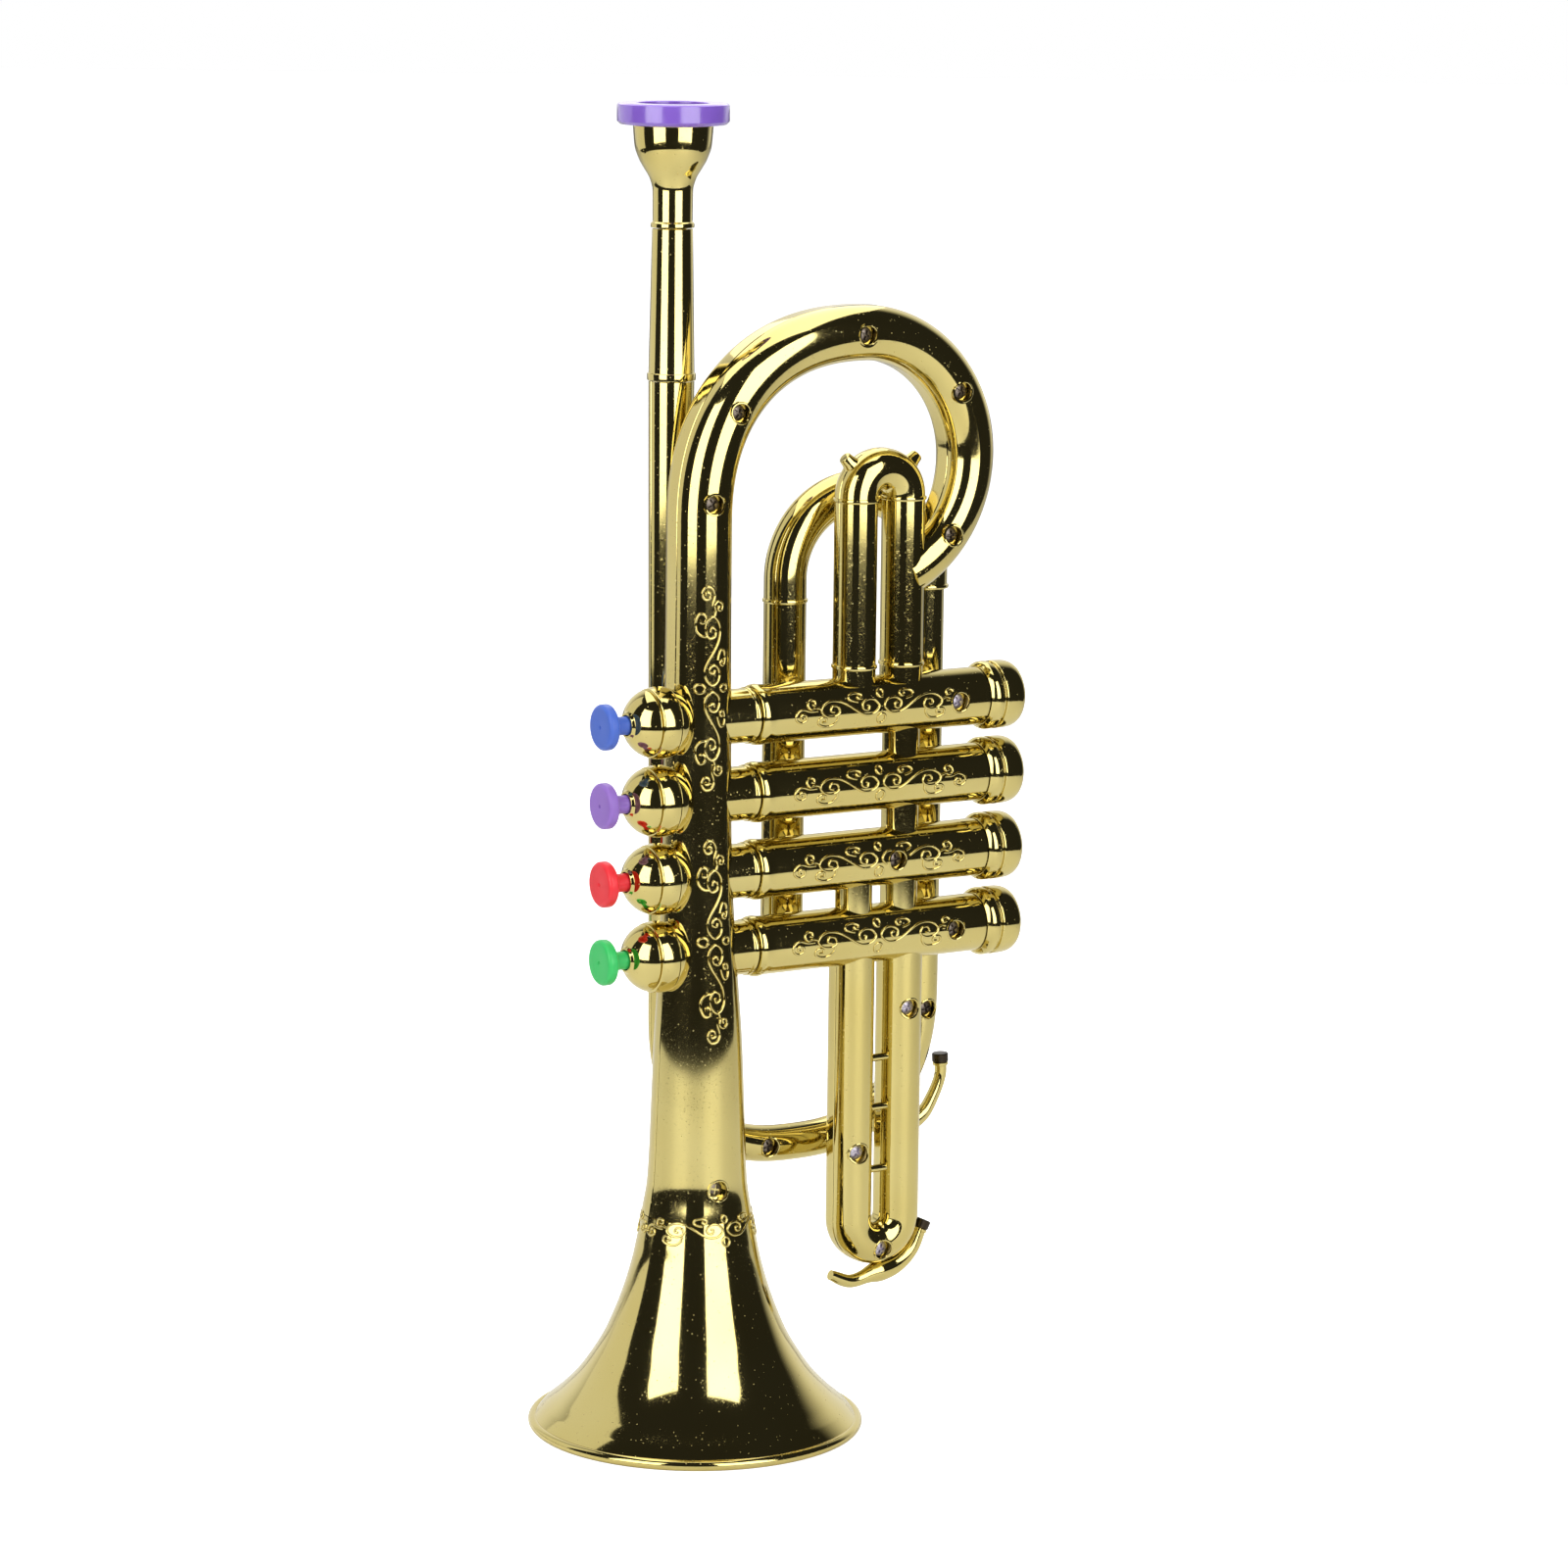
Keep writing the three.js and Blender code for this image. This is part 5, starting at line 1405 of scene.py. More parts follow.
def build_spring(number, height):
    """The coil behind a key, which is squashed as the key is pressed"""
    length = SPRING_END - SPRING_START
    reach = SPRING_RADIUS - SPRING_WIRE
    points = []
    for share in np.linspace(0, 1, 40 * SPRING_TURNS):
        angle = 2 * math.pi * SPRING_TURNS * share
        x = SPRING_START + SPRING_WIRE + (length - 2 * SPRING_WIRE) * share
        points.append((x, reach * math.cos(angle), height + reach * math.sin(angle)))
    coil = tube_along(Shape(), points, SPRING_WIRE, 10)
    piece = place_piece(f"spring_{number}_coil", coil, [f"spring_{number}"], "spring_steel")
    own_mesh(piece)


def build_casings(settings):
    """The four casings with the tubing between them in two half shells, and the saddles behind"""
    wall = mm(settings.wall)
    start = STUB_END + CLEARANCE
    profile = [(start + along, CASING_RADIUS + grow) for along, grow in CASING_SHOULDER]
    profile += [
        (CASING_END - CASING_LEAD, CASING_RADIUS),
        (CASING_END, CASING_RADIUS),
        (CASING_END, CASING_RADIUS - wall),
        (start, CASING_RADIUS - wall),
    ]
    casing = rounded(profile, 0.2, 3)
    for half in HALVES:
        shape = Shape()
        for height in VALVE_HEIGHTS:
            turned(shape, casing, (0, height), "x", settings.turned_sides, half=half)
        for x, upper, lower in ((TUBING_RIGHT, 0, 3), (TUBING_LEFT, 2, 3)):
            rows = [(x, VALVE_HEIGHTS[valve], TUBING_RADIUS, 0) for valve in (upper, lower)]
            route = spaced(rows, 4)
            swept_half(shape, route, half == "rear", settings, flat=lambda widen: TUBING_REAR_FLAT)
        if half == "rear":
            add_saddles(shape)
        wells = [(x, z, -CASING_RADIUS) for x, z in VALVE_SCREWS] if half == "front" else ()
        name = f"valve_casings_{half}"
        place_piece(name + "_shell", shape, [name], wells=wells)
    wells = Shape()
    for x, z in VALVE_SCREWS:
        axis = [(x + off, z, CASING_RADIUS, 0) for off in np.linspace(-6, 6, 49)]
        add_well(wells, x, z, -CASING_RADIUS, CASING_LIFT)
        add_lips(wells, [(x, z)], axis)
    place_piece("valve_casings_front_wells", wells)


def add_saddles(shape):
    """The saddles behind the top and lowest casing, which hold the rear tubing"""
    for x, tube in ((REAR_LEG_X, REAR_CROOK_RADIUS), (REAR_RIGHT_X, TUNING_RADIUS)):
        end = REAR_Y - tube + SADDLE_OVERLAP
        saddle = [(SADDLE_START, 0), (SADDLE_START, SADDLE_RADIUS), (end, SADDLE_RADIUS), (end, 0)]
        for height in (VALVE_HEIGHTS[0], VALVE_HEIGHTS[-1]):
            turned(shape, saddle, (x, height), "y", 32)


def build_end_caps(settings):
    """The flared caps on the casings' right ends"""
    wall = mm(settings.wall)
    start = CASING_END + CLEARANCE
    spigot = CASING_RADIUS - wall - CLEARANCE
    outside = [(start + END_CAP_LENGTH * along, radius) for along, radius in END_CAP_PROFILE]
    inside = start + END_CAP_LENGTH - wall
    profile = (
        [(start - SPIGOT_LENGTH, spigot - wall), (start - SPIGOT_LENGTH, spigot), (start, spigot)]
        + outside
        + [(start + END_CAP_LENGTH, 0), (inside, 0), (inside, spigot - wall)]
    )
    for number, height in enumerate(VALVE_HEIGHTS, 1):
        shape = turned(Shape(), rounded(profile, 0.12, 3), (0, height), "x", settings.turned_sides)
        place_piece(f"end_cap_{number}_turned", shape, [f"end_cap_{number}"])


def build_upper_crook(settings):
    """The bend above the casings in two half shells, with its ring lines and the two studs"""
    route = crook_route(settings)
    build_halves(
        settings, "upper_crook", "shell", route, flat=lambda widen: CROOK_REAR_FLAT, details=add_crook_details
    )


def add_crook_details(shape, half):
    """The crook's ring lines, and in front the two studs on its shoulders"""
    for x in (CROOK_LEFT, CROOK_RIGHT):
        for height in CROOK_FERRULES:
            low = height - FERRULE_LENGTH / 2
            ring_band(shape, x, CROOK_RADIUS + FERRULE, low, half, flat=CROOK_REAR_FLAT)
    if half == "front":
        reach = (CROOK_RIGHT - CROOK_LEFT) / 2 + CROOK_RADIUS
        centre = np.array(((CROOK_LEFT + CROOK_RIGHT) / 2, STUD_DEPTH, CROOK_TOP - reach))
        for angle in STUD_ANGLES:
            way = np.array((math.cos(angle), 0, math.sin(angle)))
            points = [centre + way * (reach + along) for along, _ in STUD_PROFILE]
            tube_along(shape, points, [radius for _, radius in STUD_PROFILE], 28)


def build_front_slide(settings):
    """The long slide below the casings in two half shells, with the bars in its gap"""
    route = slide_route(settings)
    build_halves(
        settings, "front_slide", "shell", route, flat=lambda widen: SLIDE_REAR_FLAT, sites=SLIDE_SCREWS
    )
    extras = well_cups(route, SLIDE_SCREWS, lift=SLIDE_LIFT)
    for height in BAR_HEIGHTS:
        xs = np.linspace(SLIDE_LEFT + BAR_INSET, SLIDE_RIGHT - BAR_INSET, 5)
        tube_along(extras, [(x, -SLIDE_RADIUS / 4, height) for x in xs], BAR_RADIUS, 24)
    place_piece("front_slide_front_bars", extras)


def build_leadpipe(settings):
    """The leadpipe and the tuning slide behind the casings in two half shells"""
    route = leadpipe_route(settings)
    build_halves(settings, "leadpipe", "shell", route, REAR_Y, sites=REAR_SCREWS)
    place_piece("leadpipe_front_wells", well_cups(route, REAR_SCREWS, REAR_Y, REAR_LIFT))


def build_rear_crook(settings):
    """The bend behind the valves in two half shells, with its ring lines"""
    route = rear_crook_route(settings)
    build_halves(settings, "rear_crook", "shell", route, REAR_Y, details=add_rear_rings)


def add_rear_rings(shape, half):
    """The ring lines at the feet of the rear crook"""
    for x, low in ((REAR_LEG_X, REAR_JOINT - FERRULE_LENGTH), (REAR_RIGHT_X, REAR_JOINT)):
        ring_band(shape, x, REAR_CROOK_RADIUS + FERRULE, low, half, y=REAR_Y)


def build_mouthpiece(settings):
    """The purple ring, the cup with its shank and the sleeve below, turned round the leadpipe's axis"""
    under = MOUTH_TOP - MOUTH_RING_HEIGHT
    ring = [
        (under, MOUTH_OPENING),
        (under, MOUTH_RING_RADIUS - MOUTH_RING_CHAMFER),
        (under + MOUTH_RING_CHAMFER, MOUTH_RING_RADIUS),
    ]
    ring += [(MOUTH_TOP - down, MOUTH_RING_RADIUS - inward) for down, inward in MOUTH_RING_EDGE]
    ring += [(MOUTH_TOP - down, MOUTH_OPENING + outward) for down, outward in MOUTH_OPENING_EDGE]
    turn_upright("mouth_ring", rounded(ring, 0.15, 4), 128, "purple_plastic")

    wall = mm(settings.wall)
    top = under - CLEARANCE
    height = top - CUP_BOTTOM
    downs = np.linspace(0, CUP_SHARES[-1][0], 60)
    outer = [
        (top - height * down, SHANK_RADIUS + (CUP_RADIUS - SHANK_RADIUS) * wide)
        for down, wide in zip(downs, smooth_values(*zip(*CUP_SHARES), downs))
    ]
    outer += [(CUP_BOTTOM + up, SLEEVE_TOP_RADIUS + grow) for up, grow in CUP_RING]
    shank = SLEEVE_TOP_RADIUS - wall - CLEARANCE
    foot = CUP_BOTTOM - SHANK_LENGTH
    bowl_radius = CUP_RADIUS - wall
    bowl = [
        (top - CUP_DEPTH * math.sin(a), CUP_THROAT + (bowl_radius - CUP_THROAT) * math.cos(a))
        for a in np.linspace(0, math.pi / 2, 24)
    ]
    cup = outer + [(CUP_BOTTOM, shank), (foot, shank), (foot, CUP_THROAT)] + bowl[::-1]
    turn_upright("mouthpiece_cup", rounded(cup, 0.2, 3), 112, "gold_plating")

    head, foot = CUP_BOTTOM - CLEARANCE, LEADPIPE_TOP + CLEARANCE
    sleeve = [
        (head, SLEEVE_TOP_RADIUS - wall),
        (head, SLEEVE_TOP_RADIUS),
        ((head + foot) / 2, (SLEEVE_TOP_RADIUS + SLEEVE_FOOT_RADIUS) / 2),
        (foot + SLEEVE_RING, SLEEVE_FOOT_RADIUS),
        (foot + SLEEVE_RING, SLEEVE_FOOT_RADIUS + FERRULE),
        (foot, SLEEVE_FOOT_RADIUS + FERRULE),
        (foot, SLEEVE_TOP_RADIUS - wall),
    ]
    turn_upright("mouthpipe_sleeve", rounded(sleeve, 0.2, 3), 72, "gold_plating")


def turn_upright(name, profile, sides, finish):
    """A piece turned round the leadpipe's axis, in place of its node"""
    shape = turned(Shape(), profile, (LEADPIPE_X, REAR_Y), "z", sides)
    place_piece(name + "_turned", shape, [name], finish)


def build_hooks(settings):
    """The two finger hooks, each a swelling rod with a collar and a dark tip"""
    hooks = (
        ("front_hook", FRONT_HOOK, FRONT_HOOK_SWELL, 0),
        ("rear_hook", REAR_HOOK, REAR_HOOK_SWELL, REAR_Y),
    )
    for name, places, swell, y in hooks:
        points = curve_points([(x, y, z) for x, z in places], HOOK_STATIONS)
        rod, tip = points[:-HOOK_TIP_STATIONS], points[-1]
        way = tip - rod[-1]
        way /= np.linalg.norm(way)
        shape = Shape()
        tube_along(shape, rod, smooth_values(*zip(*swell), np.linspace(0, 1, len(rod))), 28)
        for stations, mark in ((HOOK_COLLAR, 0), (HOOK_TIP, 1)):
            places = [tip + way * along for along, _ in stations]
            tube_along(shape, places, [radius for _, radius in stations], 32, mark=mark)
        piece = make_object(name + "_bent", shape, ["gold_plating", "dark_plating"])
        ride(piece, "trumpet", [name])


def build_stage(stage):
    """The camera, the pale table, the lights and the world"""
    scene = bpy.context.scene
    scene.view_settings.view_transform = "Standard"
    scene.view_settings.look = "None"
    camera = bpy.data.cameras.new("camera")
    camera.lens = stage.lens
    camera.sensor_width = SENSOR_WIDTH
    camera.clip_end = CLIP_END
    holder = bpy.data.objects.new("camera", camera)
    turn = Matrix((CAMERA_RIGHT, CAMERA_UP, CAMERA_BACK)).transposed().to_4x4()
    holder.matrix_world = Matrix.Translation(CAMERA_PLACE) @ turn
    scene.collection.objects.link(holder)
    scene.camera = holder

    build_table(stage)
    light = bpy.data.lights.new("light_above", "AREA")
    light.shape = "RECTANGLE"
    light.size, light.size_y = TOP_LIGHT_SIZE, TOP_LIGHT_SIZE
    light.energy = stage.top_power
    above = bpy.data.objects.new("light_above", light)
    above.location = TOP_LIGHT_PLACE
    above.visible_glossy = False
    above.visible_camera = False
    scene.collection.objects.link(above)
    for number, (*reach, share) in enumerate(STRIPS, 1):
        build_light(f"strip_light_{number}", strip_places(*reach), stage.strip_strength * share)
    build_light("panel_light", panel_places(), stage.over_strength)
    build_world(scene, stage)


def build_table(stage):
    """A flat sheet of paper, round in front, whose front edge the plating mirrors"""
    corners = [
        stage.table_front * (AHEAD * math.cos(turn) + ASIDE * math.sin(turn))
        for turn in np.linspace(-TABLE_SWEEP, TABLE_SWEEP, TABLE_STATIONS)
    ]
    corners += [AHEAD * TABLE_BACK + ASIDE * side for side in (TABLE_SIDE, -TABLE_SIDE)]
    mesh = bpy.data.meshes.new("floor")
    mesh.from_pydata([tuple(corner) for corner in corners], [], [tuple(range(len(corners)))])
    tree, shader = new_material("floor_paper")
    paper = skin(
        tree, Drift_Size=3.0, Pit_Size=400.0, Pit_Amount=0.2, Wave_Height=0.0, Pit_Height=0.02
    )
    tones = [(tone, tone, tone) for tone in PAPER_TONES]
    link(tree, blend_colours(tree, paper.outputs["Drift"], *tones), shader.inputs["Base Color"])
    shader.inputs["Roughness"].default_value = 0.6
    shader.inputs["Specular IOR Level"].default_value = 0.2
    rays = node(tree, "ShaderNodeLightPath", (0, -400))
    lift = node(tree, "ShaderNodeMath", (150, -400), operation="MULTIPLY")
    link(tree, rays.outputs["Is Camera Ray"], lift.inputs[0])
    lift.inputs[1].default_value = stage.floor_lift
    link(tree, lift.outputs["Value"], shader.inputs["Emission Strength"])
    shader.inputs["Emission Color"].default_value = (1, 1, 1, 1)
    mesh.materials.append(bpy.data.materials[LOOK + "floor_paper"])
    floor = bpy.data.objects.new("floor", mesh)
    bpy.context.scene.collection.objects.link(floor)


def strip_places(left, right, low, high):
    """Pairs of points, low and high, along an arc round the object"""
    places = []
    for turn in np.linspace(math.radians(left), math.radians(right), STRIP_STATIONS):
        way = AHEAD * math.cos(turn) + ASIDE * math.sin(turn)
        places += [way * STRIP_DISTANCE + Vector((0, 0, height)) for height in (low, high)]
    return places


def panel_places():
    """The two ends of the panel above the object, as pairs of points"""
    return [
        AHEAD * reach + ASIDE * side + Vector((0, 0, PANEL_HEIGHT))
        for side in PANEL_SIDES
        for reach in PANEL_REACH
    ]


def build_light(name, places, strength):
    """A panel of light between pairs of points, which the camera does not see"""
    mesh = bpy.data.meshes.new(name)
    pairs = len(places) // 2
    faces = [(2 * step, 2 * step + 2, 2 * step + 3, 2 * step + 1) for step in range(pairs - 1)]
    mesh.from_pydata([tuple(place) for place in places], [], faces)
    tree, shader = new_material(name)
    group = skin(
        tree, Drift_Size=3.0, Pit_Size=60.0, Pit_Amount=0.2, Wave_Height=0.0, Pit_Height=0.0
    )
    glow = blend_colours(tree, group.outputs["Drift"], (1, 0.99, 0.95), (1, 1, 1))
    link(tree, glow, shader.inputs["Emission Color"])
    shader.inputs["Emission Strength"].default_value = strength
    shader.inputs["Base Color"].default_value = (0, 0, 0, 1)
    mesh.materials.append(bpy.data.materials[LOOK + name])
    panel = bpy.data.objects.new(name, mesh)
    panel.visible_camera = False
    panel.visible_shadow = False
    bpy.context.scene.collection.objects.link(panel)


def build_world(scene, stage):
    """White behind the object and a dark room in front of it"""
    world = bpy.data.worlds.new("studio")
    world.use_nodes = True
    tree = world.node_tree
    tree.nodes.clear()
    output = node(tree, "ShaderNodeOutputWorld", (900, 0))
    background = node(tree, "ShaderNodeBackground", (700, 0))
    link(tree, background.outputs["Background"], output.inputs["Surface"])

    place = node(tree, "ShaderNodeTexCoord", (-1200, 0))
    toward = node(tree, "ShaderNodeVectorMath", (-1000, 300), operation="DOT_PRODUCT")
    link(tree, place.outputs["Generated"], toward.inputs[0])
    toward.inputs[1].default_value = tuple(AHEAD)
    backdrop = fade(tree, toward.outputs["Value"], *BACK_EDGE, (-500, 500))
    bright = node(tree, "ShaderNodeMath", (-300, 500), operation="MULTIPLY")
    link(tree, backdrop, bright.inputs[0])
    bright.inputs[1].default_value = stage.back_strength
    total = node(tree, "ShaderNodeMath", (350, 0), operation="MAXIMUM")
    link(tree, bright.outputs["Value"], total.inputs[0])
    total.inputs[1].default_value = stage.room_strength
    whiteness = fade(tree, total.outputs["Value"], stage.room_strength, ROOM_GREY_END, (-500, -300))
    tint = blend_colours(tree, whiteness, ROOM_GREY, (1, 1, 1), (350, 200))

    rays = node(tree, "ShaderNodeLightPath", (300, 500))
    colour = node(tree, "ShaderNodeMix", (520, 200), data_type="RGBA")
    link(tree, rays.outputs["Is Camera Ray"], colour.inputs[0])
    link(tree, tint, colour.inputs[6])
    colour.inputs[7].default_value = (1, 1, 1, 1)
    link(tree, colour.outputs[2], background.inputs["Color"])
    strength = node(tree, "ShaderNodeMix", (520, 0), data_type="FLOAT")
    link(tree, rays.outputs["Is Camera Ray"], strength.inputs[0])
    link(tree, total.outputs["Value"], strength.inputs[2])
    strength.inputs[3].default_value = 1.0
    link(tree, strength.outputs[0], background.inputs["Strength"])
    scene.world = world


def fade(tree, value, low, high, place):
    """A smooth step from 0 at one value to 1 at another"""
    made = node(tree, "ShaderNodeMapRange", place, interpolation_type="SMOOTHSTEP")
    made.inputs["From Min"].default_value = low
    made.inputs["From Max"].default_value = high
    link(tree, value, made.inputs["Value"])
    return made.outputs["Result"]


def make_screw():
    """A pan-head screw with a cross recess, whose dome faces +Z"""
    angles = np.linspace(0, 2 * math.pi, 64, endpoint=False)
    rings = []
    for reach, top in SCREW_DOME:
        ring = []
        for angle in angles:
            across, along = reach * math.cos(angle), reach * math.sin(angle)
            cross = min(abs(across), abs(along)) < SCREW_CROSS and reach < SCREW_CROSS_REACH
            ring.append((across + FRAME_X, along, top - (SCREW_CROSS_DEPTH if cross else 0)))
        rings.append(ring)
    shank = (
        (SCREW_HEAD_RADIUS, SCREW_RIM),
        (SCREW_HEAD_RADIUS, SCREW_UNDER),
        (SCREW_SHANK_RADIUS, SCREW_UNDER),
        (SCREW_SHANK_RADIUS, SCREW_TIP),
    )
    rings += [
        [(reach * math.cos(a) + FRAME_X, reach * math.sin(a), top) for a in angles] for reach, top in shank
    ]
    return make_object("screw_pattern", Shape().loft(rings), ["steel_screws"])


def build_screws(settings):
    """Repeats one screw in all the wells: the steel finish for those in the light, and a darker copy of it as
    painted shade for the others
    """
    pattern = make_screw()
    tree = repeat_tree()
    route = body_route(settings)
    groups = (
        ("loop_screw", LOOP_SCREWS, route, 0),
        ("bell_screw", (BELL_SCREW,), route, 0),
        ("valve_screw", VALVE_SCREWS, None, 0),
        ("slide_screw", SLIDE_SCREWS, slide_route(settings), 0),
        ("tuning_screw", REAR_SCREWS, leadpipe_route(settings), REAR_Y),
    )
    places = {"dark_screws": [], "steel_screws": []}
    names = {"dark_screws": [], "steel_screws": []}
    for group, sites, along, y in groups:
        for number, (x, z) in enumerate(sites, 1):
            name = f"{group}_{number}"
            # Screws out of the light get the darker finish, which is painted shade
            finish = "steel_screws" if name in BRIGHT_SCREWS else "dark_screws"
            depth = -CASING_RADIUS if along is None else surface_depth(along, x, z, y)
            middle = depth + SCREW_RECESS + SCREW_DOME[0][1]
            places[finish].append(((x - FRAME_X) * MM, middle * MM, z * MM))
            names[finish].append(name)
    for finish, points in places.items():
        mesh = bpy.data.meshes.new(finish)
        mesh.from_pydata(points, [], [])
        piece = bpy.data.objects.new(finish, mesh)
        bpy.context.scene.collection.objects.link(piece)
        modifier = piece.modifiers.new("repeat", "NODES")
        modifier.node_group = tree
        sockets = input_sockets(tree)
        modifier[sockets["Pattern"]] = pattern
        modifier[sockets["Material"]] = bpy.data.materials[LOOK + finish]
        modifier[sockets["Seed"]] = SCREW_TURN_SEED
        plain_mesh(piece)
        finish_mesh(piece.data)
        ride(piece, "trumpet", names[finish])
    bpy.data.objects.remove(pattern)


def repeat_tree():
    """Puts a pattern on every point, facing the front, each turned by its own amount"""
    tree = bpy.data.node_groups.new("Repeat On Points", "GeometryNodeTree")
    tree.interface.new_socket("Geometry", in_out="INPUT", socket_type="NodeSocketGeometry")
    tree.interface.new_socket("Pattern", in_out="INPUT", socket_type="NodeSocketObject")
    tree.interface.new_socket("Material", in_out="INPUT", socket_type="NodeSocketMaterial")
    tree.interface.new_socket("Seed", in_out="INPUT", socket_type="NodeSocketInt")
    tree.interface.new_socket("Geometry", in_out="OUTPUT", socket_type="NodeSocketGeometry")
    start = node(tree, "NodeGroupInput", (-600, 0))
    end = node(tree, "NodeGroupOutput", (800, 0))
    pattern = node(tree, "GeometryNodeObjectInfo", (-300, -200))
    link(tree, start.outputs["Pattern"], pattern.inputs["Object"])
    turn = node(tree, "FunctionNodeRandomValue", (-300, -450), data_type="FLOAT_VECTOR")
    turn.inputs[0].default_value = (math.pi / 2, 0, 0)
    turn.inputs[1].default_value = (math.pi / 2, math.pi / 2, 0)
    link(tree, start.outputs["Seed"], turn.inputs["Seed"])
    points = node(tree, "GeometryNodeMeshToPoints", (-300, 100))
    link(tree, start.outputs["Geometry"], points.inputs["Mesh"])
    repeat = node(tree, "GeometryNodeInstanceOnPoints", (0, 0))
    link(tree, points.outputs["Points"], repeat.inputs["Points"])
    link(tree, pattern.outputs["Geometry"], repeat.inputs["Instance"])
    link(tree, turn.outputs["Value"], repeat.inputs["Rotation"])
    real = node(tree, "GeometryNodeRealizeInstances", (250, 0))
    link(tree, repeat.outputs["Instances"], real.inputs["Geometry"])
    paint = node(tree, "GeometryNodeSetMaterial", (500, 0))
    link(tree, real.outputs["Geometry"], paint.inputs["Geometry"])
    link(tree, start.outputs["Material"], paint.inputs["Material"])
    link(tree, paint.outputs["Geometry"], end.inputs["Geometry"])
    return tree


def paint_reeds():
    """The reed plates keep their shape and get a brass finish"""
    for number in range(1, len(VALVE_HEIGHTS) + 1):
        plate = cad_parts[f"reed_plate_{number}"]
        for slot in plate.material_slots:
            slot.material = bpy.data.materials[LOOK + "reed_brass"]


# Operators
class TOYTRUMPET_OT_finishes(bpy.types.Operator):
    """Makes the materials and paints the pieces kept from the frame"""

    bl_idname = "toy_trumpet.finishes"
    bl_label = "Finishes"

    def execute(self, context):
        make_materials(context.scene.toy_trumpet_finish)
        paint_reeds()
        return {"FINISHED"}


class TOYTRUMPET_OT_bell(bpy.types.Operator):
    """Turns the bell"""

    bl_idname = "toy_trumpet.bell"
    bl_label = "Bell"

    def execute(self, context):
        build_bell(context.scene.toy_trumpet_shape)
        return {"FINISHED"}


class TOYTRUMPET_OT_body(bpy.types.Operator):
    """Builds the bell tube, the loop and the key chambers"""

    bl_idname = "toy_trumpet.body"
    bl_label = "Bell Tube"

    def execute(self, context):
        build_body(context.scene.toy_trumpet_shape)
        return {"FINISHED"}


class TOYTRUMPET_OT_keys(bpy.types.Operator):
    """Builds the key caps, buttons, seals and springs"""

    bl_idname = "toy_trumpet.keys"
    bl_label = "Keys"

    def execute(self, context):
        build_keys(context.scene.toy_trumpet_shape)
        return {"FINISHED"}


class TOYTRUMPET_OT_casings(bpy.types.Operator):
    """Builds the four casings and the tubing between them"""

    bl_idname = "toy_trumpet.casings"
    bl_label = "Valve Casings"

    def execute(self, context):
        build_casings(context.scene.toy_trumpet_shape)
        return {"FINISHED"}


class TOYTRUMPET_OT_end_caps(bpy.types.Operator):
    """Turns the four end caps"""

    bl_idname = "toy_trumpet.end_caps"
    bl_label = "End Caps"

    def execute(self, context):
        build_end_caps(context.scene.toy_trumpet_shape)
        return {"FINISHED"}


class TOYTRUMPET_OT_upper_crook(bpy.types.Operator):
    """Builds the crook above the casings"""

    bl_idname = "toy_trumpet.upper_crook"
    bl_label = "Upper Crook"

    def execute(self, context):
        build_upper_crook(context.scene.toy_trumpet_shape)
        return {"FINISHED"}


class TOYTRUMPET_OT_front_slide(bpy.types.Operator):
    """Builds the slide below the casings"""

    bl_idname = "toy_trumpet.front_slide"
    bl_label = "Front Slide"

    def execute(self, context):
        build_front_slide(context.scene.toy_trumpet_shape)
        return {"FINISHED"}


class TOYTRUMPET_OT_leadpipe(bpy.types.Operator):
    """Builds the leadpipe and the tuning slide"""

    bl_idname = "toy_trumpet.leadpipe"
    bl_label = "Leadpipe"

    def execute(self, context):
        build_leadpipe(context.scene.toy_trumpet_shape)
        return {"FINISHED"}


class TOYTRUMPET_OT_rear_crook(bpy.types.Operator):
    """Builds the crook behind the casings"""

    bl_idname = "toy_trumpet.rear_crook"
    bl_label = "Rear Crook"

    def execute(self, context):
        build_rear_crook(context.scene.toy_trumpet_shape)
        return {"FINISHED"}


class TOYTRUMPET_OT_mouthpiece(bpy.types.Operator):
    """Turns the ring, the cup and the sleeve"""

    bl_idname = "toy_trumpet.mouthpiece"
    bl_label = "Mouthpiece"

    def execute(self, context):
        build_mouthpiece(context.scene.toy_trumpet_shape)
        return {"FINISHED"}


class TOYTRUMPET_OT_hooks(bpy.types.Operator):
    """Bends the two finger hooks"""

    bl_idname = "toy_trumpet.hooks"
    bl_label = "Finger Hooks"

    def execute(self, context):
        build_hooks(context.scene.toy_trumpet_shape)
        return {"FINISHED"}


class TOYTRUMPET_OT_scrolls(bpy.types.Operator):
    """Raises the scroll lines on the mouldings"""

    bl_idname = "toy_trumpet.scrolls"
    bl_label = "Scrolls"

    def execute(self, context):
        build_scrolls(context.scene.toy_trumpet_shape)
        return {"FINISHED"}


class TOYTRUMPET_OT_screws(bpy.types.Operator):
    """Repeats the screws in their wells"""

    bl_idname = "toy_trumpet.screws"
    bl_label = "Screws"

    def execute(self, context):
        build_screws(context.scene.toy_trumpet_shape)
        return {"FINISHED"}


class TOYTRUMPET_OT_stage(bpy.types.Operator):
    """Builds the floor, the light and the camera"""

    bl_idname = "toy_trumpet.stage"
    bl_label = "Stage"

    def execute(self, context):
        build_stage(context.scene.toy_trumpet_stage)
        return {"FINISHED"}


class TOYTRUMPET_PT_panel(bpy.types.Panel):
    """Lists the steps that build the toy trumpet"""

    bl_label = "Toy Trumpet"
    bl_idname = "TOYTRUMPET_PT_panel"
    bl_space_type = "VIEW_3D"
    bl_region_type = "UI"
    bl_category = "Toy Trumpet"

    def draw(self, context):
        for kind in OPERATORS:
            self.layout.operator(kind.bl_idname)


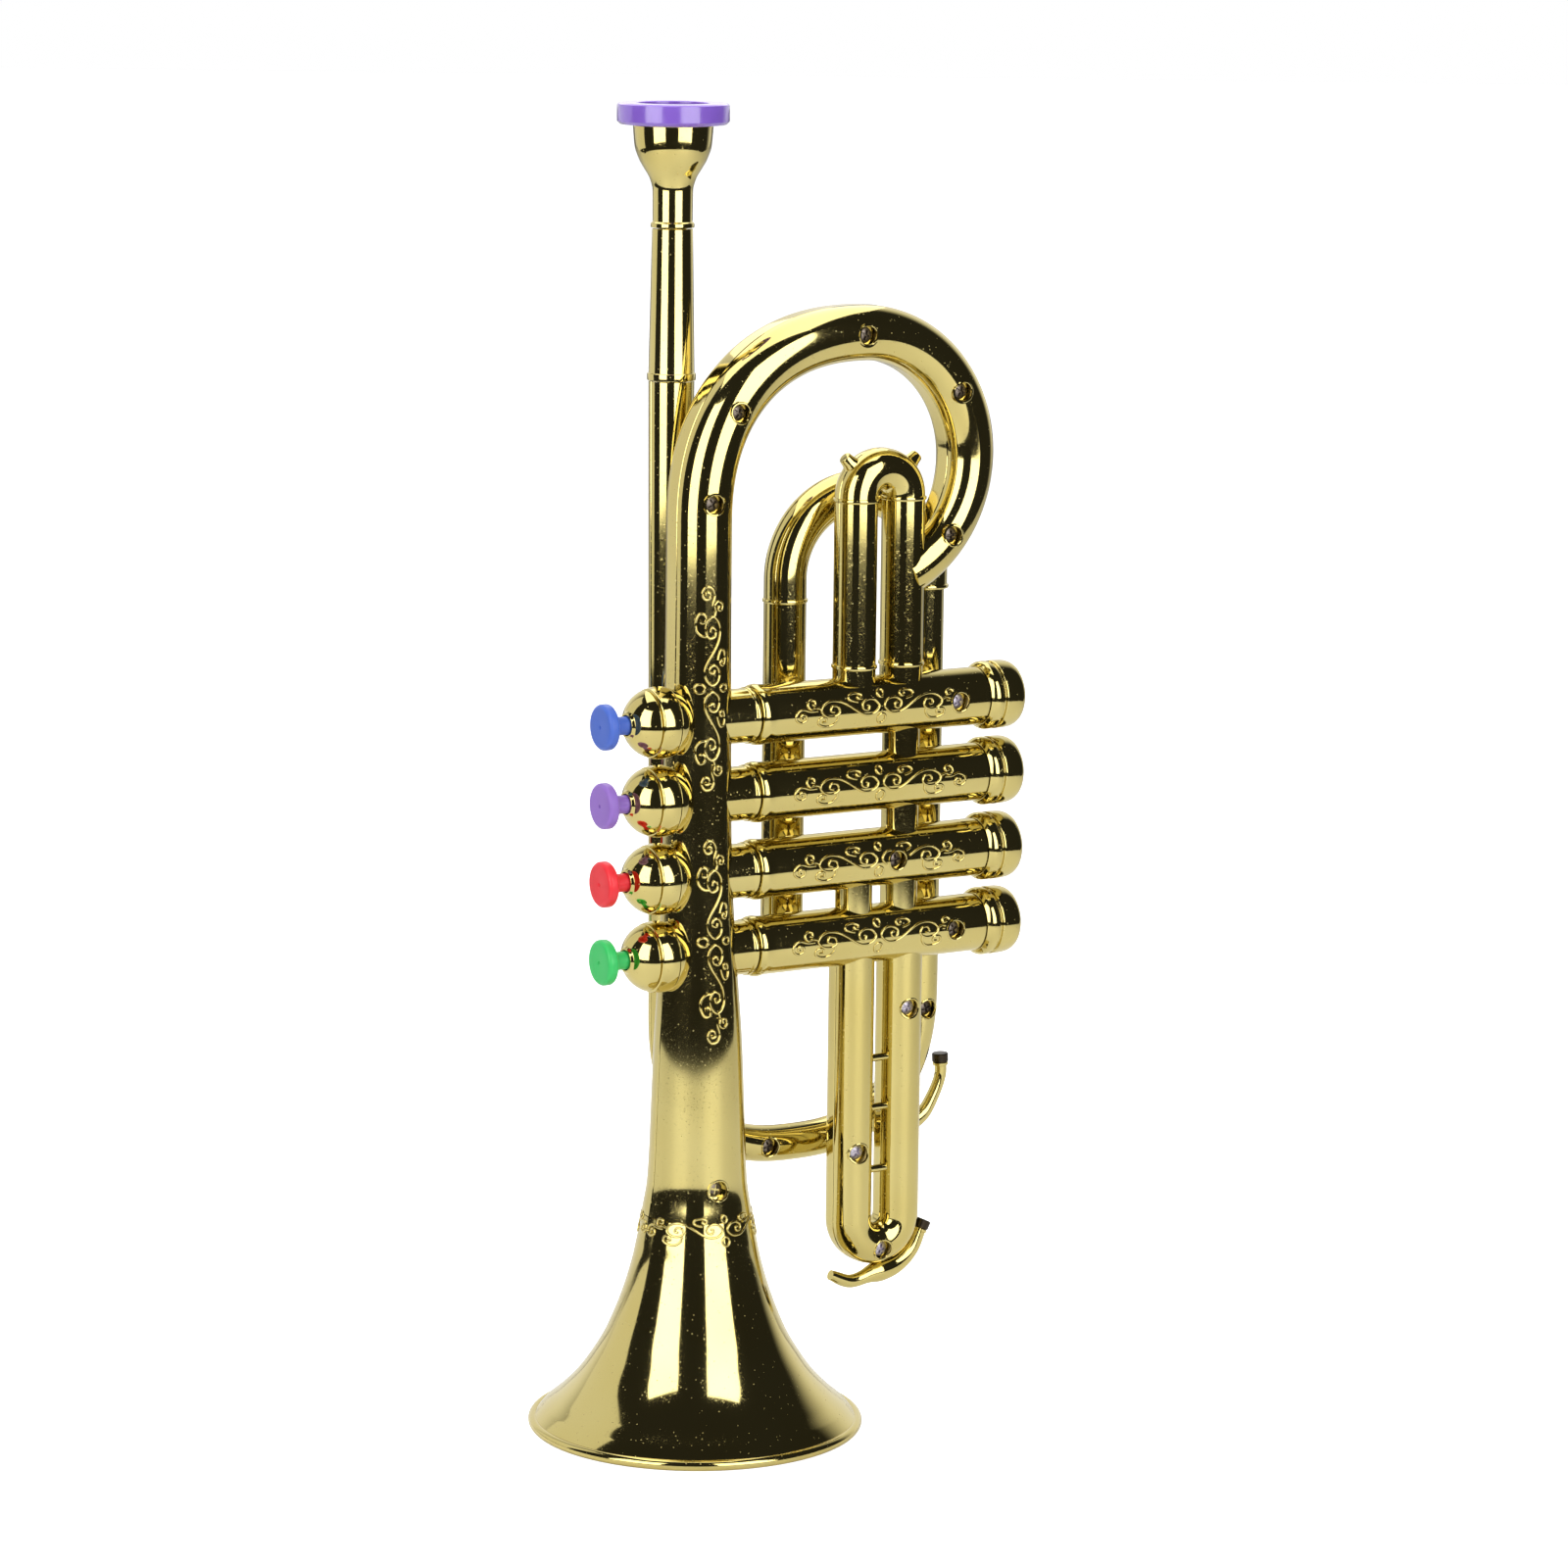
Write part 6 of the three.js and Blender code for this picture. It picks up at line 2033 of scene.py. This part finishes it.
OPERATORS = (
    TOYTRUMPET_OT_finishes,
    TOYTRUMPET_OT_bell,
    TOYTRUMPET_OT_body,
    TOYTRUMPET_OT_keys,
    TOYTRUMPET_OT_casings,
    TOYTRUMPET_OT_end_caps,
    TOYTRUMPET_OT_upper_crook,
    TOYTRUMPET_OT_front_slide,
    TOYTRUMPET_OT_leadpipe,
    TOYTRUMPET_OT_rear_crook,
    TOYTRUMPET_OT_mouthpiece,
    TOYTRUMPET_OT_hooks,
    TOYTRUMPET_OT_scrolls,
    TOYTRUMPET_OT_screws,
    TOYTRUMPET_OT_stage,
)
CLASSES = (ToyTrumpetShape, ToyTrumpetFinish, ToyTrumpetStage, *OPERATORS, TOYTRUMPET_PT_panel)


def register():
    """Adds the classes and the settings to Blender"""
    for kind in CLASSES:
        bpy.utils.register_class(kind)
    bpy.types.Scene.toy_trumpet_shape = PointerProperty(type=ToyTrumpetShape)
    bpy.types.Scene.toy_trumpet_finish = PointerProperty(type=ToyTrumpetFinish)
    bpy.types.Scene.toy_trumpet_stage = PointerProperty(type=ToyTrumpetStage)


def unregister():
    """Takes the settings and the classes away again"""
    del bpy.types.Scene.toy_trumpet_stage
    del bpy.types.Scene.toy_trumpet_finish
    del bpy.types.Scene.toy_trumpet_shape
    for kind in reversed(CLASSES):
        bpy.utils.unregister_class(kind)


def main():
    """Runs every operator in order"""
    register()
    bpy.ops.toy_trumpet.finishes()
    bpy.ops.toy_trumpet.bell()
    bpy.ops.toy_trumpet.body()
    bpy.ops.toy_trumpet.keys()
    bpy.ops.toy_trumpet.casings()
    bpy.ops.toy_trumpet.end_caps()
    bpy.ops.toy_trumpet.upper_crook()
    bpy.ops.toy_trumpet.front_slide()
    bpy.ops.toy_trumpet.leadpipe()
    bpy.ops.toy_trumpet.rear_crook()
    bpy.ops.toy_trumpet.mouthpiece()
    bpy.ops.toy_trumpet.hooks()
    bpy.ops.toy_trumpet.scrolls()
    bpy.ops.toy_trumpet.screws()
    bpy.ops.toy_trumpet.stage()


if __name__ == "__main__":
    main()
